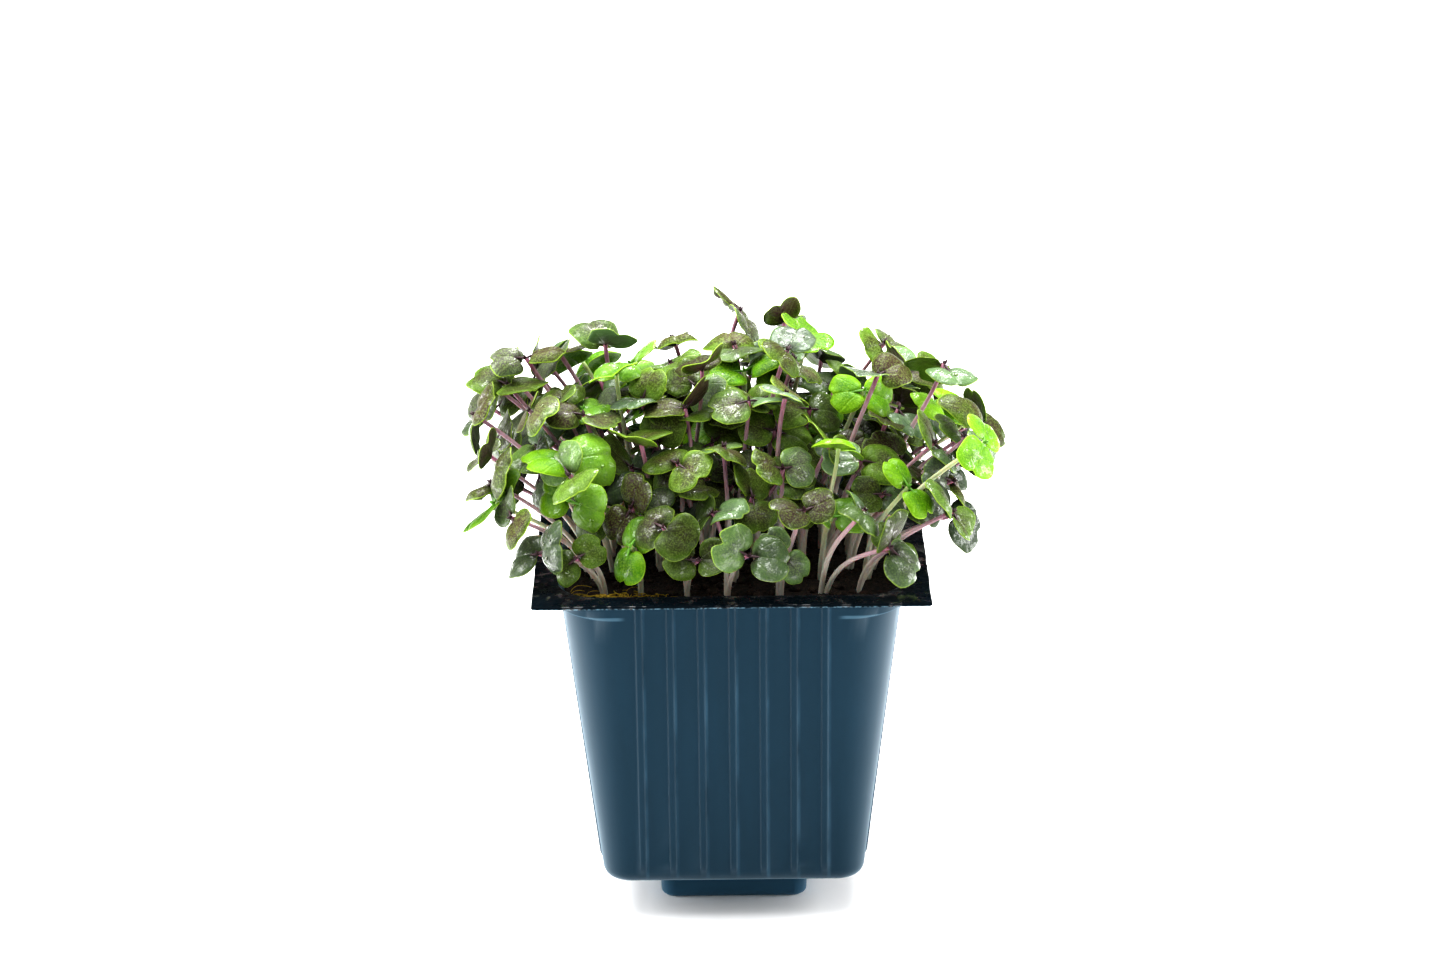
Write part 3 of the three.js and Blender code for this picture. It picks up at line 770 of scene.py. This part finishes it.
RIB_MIDDLES = (np.arange(RIB_COUNT) - (RIB_COUNT - 1) / 2) * RIB_PITCH
RIB_STEPS = np.array([-1.1, -0.95, -0.75, -0.55, -0.42, 0, 0.42, 0.55, 0.75, 0.95, 1.1]) * RIB_FOOT
RIB_ZONE = RIB_MIDDLES[-1] + 1.6  # half the width of the ribbed part of a side
SIDE_PLACES = (RIB_MIDDLES[:, None] + RIB_STEPS).ravel()
OUTER_SHARES = np.array([0.2, 0.4, 0.6, 0.8])
CORNER_STEPS = 14


def pot_ring(half, corner, z, rib=0.0):
    """A rounded square of points, whose straight sides carry the ribs to that share of their
    full height. It starts at the left end of the front side and runs anticlockwise."""
    flat = half - corner
    zone = min(RIB_ZONE, 0.92 * flat)
    outer = zone + (flat - zone) * OUTER_SHARES
    along = np.concatenate([-outer[::-1], SIDE_PLACES * zone / RIB_ZONE, outer])
    from_rib = np.abs(along[:, None] - RIB_MIDDLES).min(1)
    proud = RIB_PROUD * rib * (1 - smooth(from_rib, RIB_CREST, RIB_FOOT))
    side = np.stack([along, -half - proud], axis=1)
    angles = np.linspace(-math.pi / 2, 0, CORNER_STEPS + 1)
    arc = np.stack([flat + corner * np.cos(angles), -flat + corner * np.sin(angles)], axis=1)
    sides = [np.concatenate([side, arc])]
    for _ in range(3):
        x, y = sides[-1].T
        sides.append(np.stack([-y, x], axis=1))
    ring = np.concatenate(sides)
    return np.column_stack([ring, np.full(len(ring), float(z))])


def arc_steps(count):
    """(share across, share up) along a quarter turn that starts level and ends upright."""
    angles = np.arange(1, count) * math.pi / 2 / count
    return zip(np.sin(angles), 1 - np.cos(angles))


def pot_skin(inset, rib):
    """Rings from the underside of the foot up to the flare under the rim."""
    floor = FOOT_HEIGHT + inset
    foot = FOOT_WIDTH / 2 - inset
    low = foot - FOOT_TAPER
    wall = wall_half(floor) - inset
    corner = wall_corner(floor) - inset
    for share in (0.15, 0.45, 0.75, 1):
        yield pot_ring(share * (low - FOOT_RADIUS), share * (FOOT_CORNER - FOOT_RADIUS), inset)
    for across, up in arc_steps(4):
        back = FOOT_RADIUS * (1 - across)
        yield pot_ring(low - back, FOOT_CORNER - back, inset + FOOT_RADIUS * up)
    for half, z in (
        (low, inset + FOOT_RADIUS), ((low + foot) / 2, FOOT_HEIGHT / 2), (foot, floor - 0.4),
        (foot + 0.3, floor - 0.1), (foot + 0.9, floor),
    ):
        yield pot_ring(half, FOOT_CORNER, z)
    yield pot_ring(wall - FLOOR_RADIUS, corner - 0.8 * FLOOR_RADIUS, floor)
    for across, up in arc_steps(6):
        back = FLOOR_RADIUS * (1 - across)
        yield pot_ring(wall - back + 0.2 * up, corner - 0.8 * back, floor + FLOOR_RADIUS * up)
    start = floor + FLOOR_RADIUS
    top = POT_HEIGHT - COLLAR_HEIGHT - COLLAR_STEP + 0.7 * inset
    for share in (0, 0.012, 0.03, 0.06, 0.15, 0.3, 0.45, 0.6, 0.75, 0.9, 1):
        z = start + (top - start) * share
        proud = rib * smooth(z, start, start + 2)
        yield pot_ring(wall_half(z) - inset, wall_corner(z) - inset, z, proud)
    collar = COLLAR_CORNER - inset
    turn = POT_HEIGHT - LIP_RADIUS - SHEET + inset
    for z in (POT_HEIGHT - COLLAR_HEIGHT + 0.7 * inset, turn):
        yield pot_ring(wall_half(z) - inset, collar, z, rib)
    for across, up in arc_steps(5):
        out = wall_half(turn) - inset + LIP_RADIUS * up
        yield pot_ring(out, collar + LIP_RADIUS * up, turn + LIP_RADIUS * across, rib * (1 - up))


def rim_rings():
    """Rings over the rim, from under its inner edge out round its cut edge and back in on top."""
    inner = wall_half(POT_HEIGHT) + 1.4
    half = RIM_WIDTH / 2 - CUT_RAGGED
    under, top = POT_HEIGHT - SHEET, POT_HEIGHT
    outs = [inner + (half - inner) * share for share in (0, 0.3, 0.6, 0.88)]
    section = [(out, under) for out in outs]
    section += [(half - 0.15, under), (half, under + 0.15), (half, top - 0.2), (half - 0.18, top)]
    section += [(out, top) for out in reversed(outs)]
    for out, z in section:
        squared = smooth(out, inner, inner + 0.6 * (half - inner))
        yield pot_ring(out, between((COLLAR_CORNER, RIM_CORNER), squared), z)


def warp_pot(points):
    """The formed sheet's small faults: a ragged cut edge, and a rim and walls not quite flat."""
    x, y, z = points.T
    level = np.column_stack([x, y, np.zeros(len(x))])
    out = np.abs(points[:, :2])
    ragged = np.clip(wave_noise(level, 1.7, 1) + 0.6 * wave_noise(level, 6, 2), -1, 1)
    cut = smooth(out, RIM_WIDTH / 2 - 1, RIM_WIDTH / 2 - CUT_RAGGED)
    moved = points.copy()
    moved[:, :2] += np.sign(points[:, :2]) * cut * CUT_RAGGED * ragged[:, None]
    at_rim = smooth(out.max(1), RIM_WIDTH / 2 - 5, RIM_WIDTH / 2)
    moved[:, 2] -= at_rim * RIM_WARP * (0.5 + 0.5 * wave_noise(level, 19, 3))
    on_wall = smooth(z, FOOT_HEIGHT + 4, FOOT_HEIGHT + 20) * (1 - smooth(z, 70, 80))
    wander = wave_noise(points * (1, 1, 0.35), 13, 4)
    moved[:, :2] *= (1 - on_wall * WALL_WARP * (0.5 + 0.5 * wander) / (MOUTH_WIDTH / 2))[:, None]
    return moved


def make_pot(materials):
    outside, rim, inside = map(list, (pot_skin(0, 1), rim_rings(), pot_skin(SHEET, 0)))
    rings = outside + rim + inside[::-1]
    sides = len(rings[0])
    slots = [0] * (len(outside) + 3) * sides + [1] * (len(rim) - 3) * sides
    slots += [0] * ((len(inside) - 1) * sides + 2)
    shape = Shape()
    shape.add(warp_pot(np.concatenate(rings)), ring_faces(len(rings), sides), slots)
    pot = shape.piece("nursery_pot", materials)

    drains = Shape()
    for x in (-DRAIN_OFFSET, DRAIN_OFFSET):
        for y in (-DRAIN_OFFSET, DRAIN_OFFSET):
            path = np.array([(x, y, -SHEET), (x, y, SHEET), (x, y, 3 * SHEET)])
            drains.tube(path, [DRAIN_RADIUS] * 3, DRAIN_SIDES)
    cutter = drains.piece("drain_cutter", materials)
    cut = pot.modifiers.new("drains", "BOOLEAN")
    cut.operation = "DIFFERENCE"
    cut.solver = "EXACT"
    cut.object = cutter
    apply_modifiers(pot)
    bpy.data.objects.remove(cutter)
    pot.data.set_sharp_from_angle(angle=math.radians(50))
    return pot


# The soil

def soil_height(x, y):
    wave = np.sin(0.31 * x + 1.3 * np.sin(0.17 * y)) + np.sin(0.27 * y - 0.8)
    return SOIL_LEVEL + SOIL_RELIEF / 2 * wave


def golden_share(x, y):
    """1 in the middle of the golden patch and 0 well away from it."""
    away = ((x - FIBRE_PLACE[0]) / FIBRE_SPREAD[0]) ** 2 + ((y - FIBRE_PLACE[1]) / FIBRE_SPREAD[1]) ** 2
    return np.exp(-away)


def add_bed(shape, half, corner, inset):
    """The bed that fills the pot, with a crumbly top."""
    rings = [ring for ring in pot_skin(inset, 0) if ring[0, 2] < SOIL_LEVEL - 2]
    for share in np.linspace(1, 0.02, BED_RINGS):
        ring = pot_ring(half * share, corner * share, 0)
        crumbly = sum(high * wave_noise(ring, size, 5 + i) for i, (size, high) in enumerate(BED_WAVES))
        ring[:, 2] = soil_height(ring[:, 0], ring[:, 1]) + crumbly
        rings.append(ring)
    points = np.concatenate(rings)
    golden = golden_share(points[:, 0], points[:, 1])
    place = np.column_stack([golden, np.zeros((len(points), 2))])
    shape.add(points, ring_faces(len(rings), len(rings[0])), 0, place)


def add_crumbs(shape, half, draws):
    build = bmesh.new()
    bmesh.ops.create_icosphere(build, subdivisions=2, radius=1)
    ball = np.array([corner.co[:] for corner in build.verts])
    faces = [tuple(corner.index for corner in face.verts) for face in build.faces]
    build.free()
    for crumb in range(CRUMB_COUNT):
        x, y = draws.uniform(-half, half), draws.uniform(-half, half)
        size = between(CRUMB_SIZE, draws.random() ** 2.2)
        lump = ball * (1 + 0.45 * wave_noise(ball, 0.9, crumb))[:, None]
        lump = lump * size * (1, draws.uniform(0.6, 1), draws.uniform(0.5, 0.9))
        turn = Matrix.Rotation(draws.uniform(0, 2 * math.pi), 3, "Z")
        centre = np.array([x, y, soil_height(x, y) + 0.2 * size])
        place = (golden_share(x, y), draws.random(), 0)
        shape.add(centre + lump @ np.array(turn), faces, 0, place)


def add_fibres(shape, half, draws):
    """Short curved fibres, most of them in the golden patch."""
    steps = np.linspace(-0.5, 0.5, 7)
    for _ in range(FIBRE_COUNT):
        x = draws.gauss(FIBRE_PLACE[0], 0.8 * FIBRE_SPREAD[0])
        y = draws.gauss(FIBRE_PLACE[1], 0.8 * FIBRE_SPREAD[1])
        turn = draws.uniform(0, math.pi)
        run = draws.uniform(*FIBRE_LENGTH) * steps
        bend = draws.uniform(-1.5, 1.5) * (1 - 4 * steps**2)
        across = x + math.cos(turn) * run - math.sin(turn) * bend
        back = y + math.sin(turn) * run + math.cos(turn) * bend
        across += np.clip(0, -half - across.min(), half - across.max())
        back += np.clip(0, -half - back.min(), half - back.max())
        rise = soil_height(across, back) + draws.uniform(0.3, 1) - 1.6 * steps**2
        radius = draws.uniform(*FIBRE_RADIUS)
        path = np.column_stack([across, back, rise])
        shape.tube(path, [radius] * 7, 4, 0, (1, draws.random(), 0))


def make_soil(material):
    shape = Shape()
    inset = SHEET + SOIL_GAP
    half = wall_half(SOIL_LEVEL) - inset
    draws = random.Random("soil")
    add_bed(shape, half, wall_corner(SOIL_LEVEL) - inset, inset)
    add_crumbs(shape, half - 3, draws)
    add_fibres(shape, half - 1.5, draws)
    return shape.piece("soil_bed", [material])


# The seedlings

# Half the outline of a seed leaf in u and v: the stalk's bay, a lobe, half a disc and a notch
HALF_OUTLINE = [(-0.01, 0), (-0.12, 0.2), (-0.12, 0.62), (0.06, 0.93), (0.37, 1.01), (0.68, 0.9),
                (0.89, 0.58), (0.97, 0.24), (0.92, 0)]
LEAF_RADII = (np.arange(1, LEAF_RINGS + 1) / LEAF_RINGS) ** 0.85
TOP, UNDER, STEM, BUD, DROP = range(5)  # the material slots of a seedling


def blade_faces():
    """Faces and slots of a blade: a fan and rings on top, the same below and a strip between."""
    below = 1 + LEAF_RINGS * LEAF_SPOKES
    faces, slots = [], []
    for i in range(LEAF_SPOKES):
        j = (i + 1) % LEAF_SPOKES
        faces += [(0, 1 + i, 1 + j), (below, below + 1 + j, below + 1 + i)]
        slots += [TOP, UNDER]
        for ring in range(LEAF_RINGS - 1):
            a, b = 1 + ring * LEAF_SPOKES + i, 1 + ring * LEAF_SPOKES + j
            c, d = b + LEAF_SPOKES, a + LEAF_SPOKES
            faces += [(a, d, c, b), (below + a, below + b, below + c, below + d)]
            slots += [TOP, UNDER]
        a, b = below - LEAF_SPOKES + i, below - LEAF_SPOKES + j
        faces.append((a, below + a, below + b, b))
        slots.append(TOP)
    return faces, slots


BLADE_FACES, BLADE_SLOTS = blade_faces()


def leaf_outline(draws):
    """The closed outline of one leaf in u and v, anticlockwise. No two leaves are alike."""
    lobe = draws.uniform(*LEAF_LOBE)
    square = draws.uniform(*LEAF_SQUARE)
    right = [(u + lobe * v * (u < 0.3), v * (1 + square * (u > 0.5))) for u, v in HALF_OUTLINE]
    right[-1] = (right[-1][0] - draws.uniform(*LEAF_NOTCH), 0)
    left = [(u, -v) for u, v in right[1:-1]]
    corners = np.array([right[0], *left, right[-1], *reversed(right[1:-1])])
    corners[:, 0] += draws.uniform(*LEAF_SKEW) * corners[:, 1]
    along = np.arange(LEAF_SPOKES) * len(corners) / LEAF_SPOKES
    start = along.astype(int)
    t = (along - start)[:, None]
    a, b, c, d = (corners[(start + step) % len(corners)] for step in (-1, 0, 1, 2))
    bend, twist = 2 * a - 5 * b + 4 * c - d, 3 * b - a - 3 * c + d
    return 0.5 * (2 * b + (c - a) * t + bend * t**2 + twist * t**3)


def add_leaf(shape, seedling, leaf, tint, draws):
    middle = np.array([LEAF_MIDDLE, 0])
    outline = leaf_outline(draws)
    flat = [middle[None]] + [middle + radius * (outline - middle) for radius in LEAF_RADII]
    u, v = np.concatenate(flat).T
    far = np.concatenate([[0], np.repeat(LEAF_RADII, LEAF_SPOKES)])
    angle = np.arctan2(v, u - LEAF_MIDDLE)
    frill = draws.uniform(*LEAF_FRILL) * np.sin(draws.choice((3, 4, 5)) * angle + draws.uniform(0, 6.3))
    ripple = draws.uniform(*LEAF_RIPPLE) * np.sin(9 * angle + draws.uniform(0, 6.3))
    dome = -draws.uniform(*LEAF_DOME)
    curl = -draws.uniform(*LEAF_CURL)
    fold = draws.uniform(*LEAF_FOLD)
    crease = -0.022 * np.exp(-((v / 0.1) ** 2)) * smooth(u, -0.05, 0.15) * (1 - smooth(u, 0.5, 0.95))
    curve = dome * far**2 + curl * smooth(far, 0.4, 1.1) ** 2 + fold * np.abs(v)
    lift = (curve + frill * far**2.5 + ripple * far**6 + crease) * leaf.length
    centre = leaf_points(seedling, leaf, u, v) + leaf.up * lift[:, None]
    thick = leaf.up * (BLADE_HALF * (1 - 0.45 * far**5))[:, None]
    place = np.column_stack([u, v, far])
    points = np.concatenate([centre + thick, centre - thick])
    shape.add(points, BLADE_FACES, BLADE_SLOTS, np.concatenate([place, place]), tint)


def add_stalk(shape, seedling, leaf):
    """The stalk from the head, and the midrib that it becomes under the leaf."""
    rib = leaf_points(seedling, leaf, [0.03, 0.15, 0.35, 0.6], [0] * 4)
    rib -= leaf.up * np.array([0.1, 0.22, 0.24, 0.2])[:, None]
    head = seedling.head
    path = np.array([head - seedling.along * 0.2, head + leaf.out * 0.5 * STALK_LENGTH, *rib])
    radii = (0.36, 0.3, 0.27, 0.2, 0.13, 0.05)
    shape.tube(path, radii, 6, BUD, across=leaf.up)


def add_stem(shape, seedling, draws):
    t = np.linspace(0, 1, STEM_RINGS)
    path = curve_points(seedling.curve, t)
    phase = draws.uniform(0, 6.3)
    wobble = 0.14 * np.sin(math.pi * t)
    path[:, 0] += wobble * np.sin(9 * t + phase)
    path[:, 1] += wobble * np.cos(8 * t + 2 * phase)
    radii = draws.uniform(0.9, 1.12) * between(STEM_RADIUS, t)
    radii[-2:] += 0.06
    place = np.repeat(np.column_stack([t, 0 * t, 0 * t]), STEM_SIDES, axis=0)
    shape.tube(path, radii, STEM_SIDES, STEM, place)
    for _ in range(HAIRS_PER_STEM):
        up = draws.uniform(0.2, 0.98)
        angle = draws.uniform(0, 2 * math.pi)
        rise = up * (STEM_RINGS - 1)
        ring = int(rise)
        root = between(path[ring:ring + 2], rise - ring)
        out = unit(np.array([math.cos(angle), math.sin(angle), draws.uniform(-0.2, 0.4)]))
        root = root + out * (radii[ring] - 0.08)
        hair = np.array([root, root + out * (0.08 + draws.uniform(*HAIR_LENGTH))])
        shape.tube(hair, (HAIR_HALF, 0.2 * HAIR_HALF), 3, STEM, (up, 1, 0), (0.3, 0.2, 1))


def add_bud(shape, seedling, draws):
    """The first true leaves: two small folded ones that stand up between the seed leaves."""
    apart = unit(np.cross(seedling.along, seedling.leaves[0].out))
    t = np.linspace(0, 1, 7)[:, None]
    for way in (1, -1):
        length = draws.uniform(0.9, 1.5)
        splay = draws.uniform(0.15, 0.4)
        path = seedling.head + seedling.along * (length * t) + apart * way * (0.2 + splay * t * t)
        radii = np.array([0.25, 0.42, 0.5, 0.46, 0.36, 0.2, 0.03]) * length / 2
        shape.tube(path, radii, 7, BUD)


DROP_SECTION = [(1.05, -0.3), (1, 0.04), (0.86, 0.2), (0.6, 0.32), (0.3, 0.38), (0.08, 0.4)]
DROP_SIDES = 12


def add_drops(shape, seedling, leaf, tint, draws):
    """Drops of water that stand on the leaf, more of them on a wetter one."""
    for _ in range(int(tint[2] ** 2 * 6 * draws.random() + 0.4)):
        u, v = draws.uniform(0.2, 0.7), draws.uniform(-0.5, 0.5)
        size = 0.2 + 0.5 * draws.random() ** 2
        centre = leaf_points(seedling, leaf, [u], [v])[0] + leaf.up * BLADE_HALF * 0.8
        ring = circle(DROP_SIDES, leaf.out, draws.uniform(0.75, 1) * leaf.side)
        points = np.concatenate([centre + size * (r * ring + z * leaf.up) for r, z in DROP_SECTION])
        place = np.repeat([(0, 0, r) for r, z in DROP_SECTION], DROP_SIDES, axis=0)
        shape.add(points, ring_faces(len(DROP_SECTION), DROP_SIDES), DROP, place, tint)


def add_seedling(shape, seedling, colour, shade, draws):
    """A whole seedling. shade is how bright its leaves are painted beside those in the open, as painted
    shade.
    """
    add_stem(shape, seedling, draws)
    add_bud(shape, seedling, draws)
    greenness = draws.uniform(*GREENNESS)
    for leaf in seedling.leaves:
        own = greenness + draws.uniform(*OWN_GREENNESS)
        bright = draws.uniform(*BRIGHTNESS[colour])
        # painted shade: the lower leaves, and those of shorter seedlings inside, are darkened in colour
        open_share = smooth(seedling.head[2], POT_HEIGHT + 5, POT_HEIGHT + 40)
        bright *= between((LOW_SHADE, 1), open_share) * shade
        tint = (own, bright, draws.random())
        add_leaf(shape, seedling, leaf, tint, draws)
        add_stalk(shape, seedling, leaf)
        add_drops(shape, seedling, leaf, tint, draws)


def dress(shape, name, colour, materials):
    """Makes a piece of basil from a shape, in the materials of its colour."""
    piece = shape.piece(name, materials[colour])
    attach(piece, "root")
    return piece


def make_tufts(grown, materials):
    """A piece for each tuft of the part."""
    draw = seeded(SEED)
    tufts = tuft_places(draw)
    seedlings = grow(tufts, 2, SOLID_ROOM, grown, draw)
    for index, tuft in enumerate(tufts):
        colour = "green" if f"{tuft.row} {tuft.column}" in GREEN_TUFTS else "dark"
        shape = Shape()
        for seedling in seedlings[tuft]:
            draws = random.Random(f"tuft {index} {len(shape.points)}")
            add_seedling(shape, seedling, colour, 1, draws)
        piece = dress(shape, f"basil_{index + 1:02}", colour, materials)
        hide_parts(f"seedlings_{index + 1:02}")


def make_fill(grown, materials):
    """The seedlings between the tufts, a few rows of a layer to a piece."""
    draw = seeded(FILL_SEED)
    for number, layer in enumerate(FILL_LAYERS):
        places = fill_places(layer, draw)
        seedlings = grow(places, layer.mates, FILL_ROOM, grown, draw)
        shapes = defaultdict(Shape)
        for place in places:
            colour = "green" if (place.column + 3 * place.row) % FILL_GREEN_EVERY == 3 else "dark"
            part = place.row // FILL_ROWS_PER_PIECE
            # painted shade for the shorter seedlings inside the canopy
            shade = min(1, place.stature + 0.1)
            for seedling in seedlings[place]:
                draws = random.Random(f"fill {number} {place.row} {place.column}")
                add_seedling(shapes[colour, part], seedling, colour, shade, draws)
        for (colour, part), shape in shapes.items():
            dress(shape, f"more_{colour}_{number + 1}_{part + 1}", colour, materials)


# The stage

def make_stage():
    mesh = bpy.data.meshes.new("floor")
    corners = [(x * FLOOR_HALF, y * FLOOR_HALF, 0) for x, y in ((-1, -1), (1, -1), (1, 1), (-1, 1))]
    mesh.from_pydata(corners, [], [(0, 1, 2, 3)])
    floor = new_object("floor", mesh)
    paint = Paint("floor", base_color=FLOOR_GREY, roughness=0.9, specular_ior_level=0.1)
    mesh.materials.append(paint.material)


def add_softbox(name, softbox):
    light = bpy.data.lights.new(name, "AREA")
    light.shape = "RECTANGLE"
    light.size, light.size_y = softbox.size
    light.energy = softbox.power
    lamp = new_object(name, light)
    lamp.location = softbox.place
    way = Vector(SOFTBOX_AIM) - Vector(softbox.place)
    lamp.rotation_euler = way.to_track_quat("-Z", "Y").to_euler()


def make_lights():
    """A soft light from above, softboxes at the sides and behind, a small one for glints, and a
    room that is brighter overhead."""
    sun = bpy.data.lights.new("overhead", "SUN")
    sun.energy = OVERHEAD_POWER
    sun.angle = math.radians(50)
    new_object("overhead", sun).rotation_euler = OVERHEAD_TURN
    for name, softbox in SOFTBOXES.items():
        add_softbox(name, softbox)

    world = bpy.data.worlds.new("studio")
    bpy.context.scene.world = world
    world.use_nodes = True
    nodes = Nodes(world.node_tree)
    height = nodes.split(nodes.node("TexCoord", {}, "Generated"))[2]
    inputs = {"Value": height, "To Min": ROOM_LOW, "To Max": ROOM_HIGH}
    level = nodes.node("MapRange", inputs, interpolation_type="SMOOTHSTEP")
    background = nodes.tree.nodes["Background"].inputs
    nodes.join(background["Strength"], level)
    nodes.join(background["Color"], (1, 1, 1, 1))


def make_camera():
    tilted = Matrix.Rotation(math.pi / 2 - CAMERA_ELEVATION, 3, "X")
    edge = Vector((0, -RIM_WIDTH / 2, POT_HEIGHT))
    place = edge + tilted @ Vector((-CAMERA_LEFT, CAMERA_ABOVE, CAMERA_DISTANCE))
    turned = tilted @ Matrix.Rotation(CAMERA_ROLL, 3, "Z")
    data = bpy.data.cameras.new("camera")
    data.lens = CAMERA_LENS
    data.clip_end = 20
    camera = new_object("camera", data)
    camera.matrix_world = Matrix.Translation(place * MM) @ turned.to_4x4()
    bpy.context.scene.camera = camera


make_camera()
make_stage()
make_lights()
view = bpy.context.scene.view_settings
view.view_transform = "Standard"
view.exposure = PICTURE_EXPOSURE
view.gamma = PICTURE_GAMMA

pot = make_pot([wall_paint(), rim_paint()])
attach(pot, "root")
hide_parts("pot")

soil = make_soil(soil_paint())
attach(soil, "root")
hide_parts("soil")

basil_materials = {
    "dark": basil_paints("dark", DARK_LEAF, DARK_UNDER, DARK_STEM, DARK_BUD),
    "green": basil_paints("green", GREEN_LEAF, GREEN_UNDER, GREEN_STEM, GREEN_BUD),
}
grown = {"leaf": np.empty((0, 3)), "stem": np.empty((0, 3))}
make_tufts(grown, basil_materials)
make_fill(grown, basil_materials)
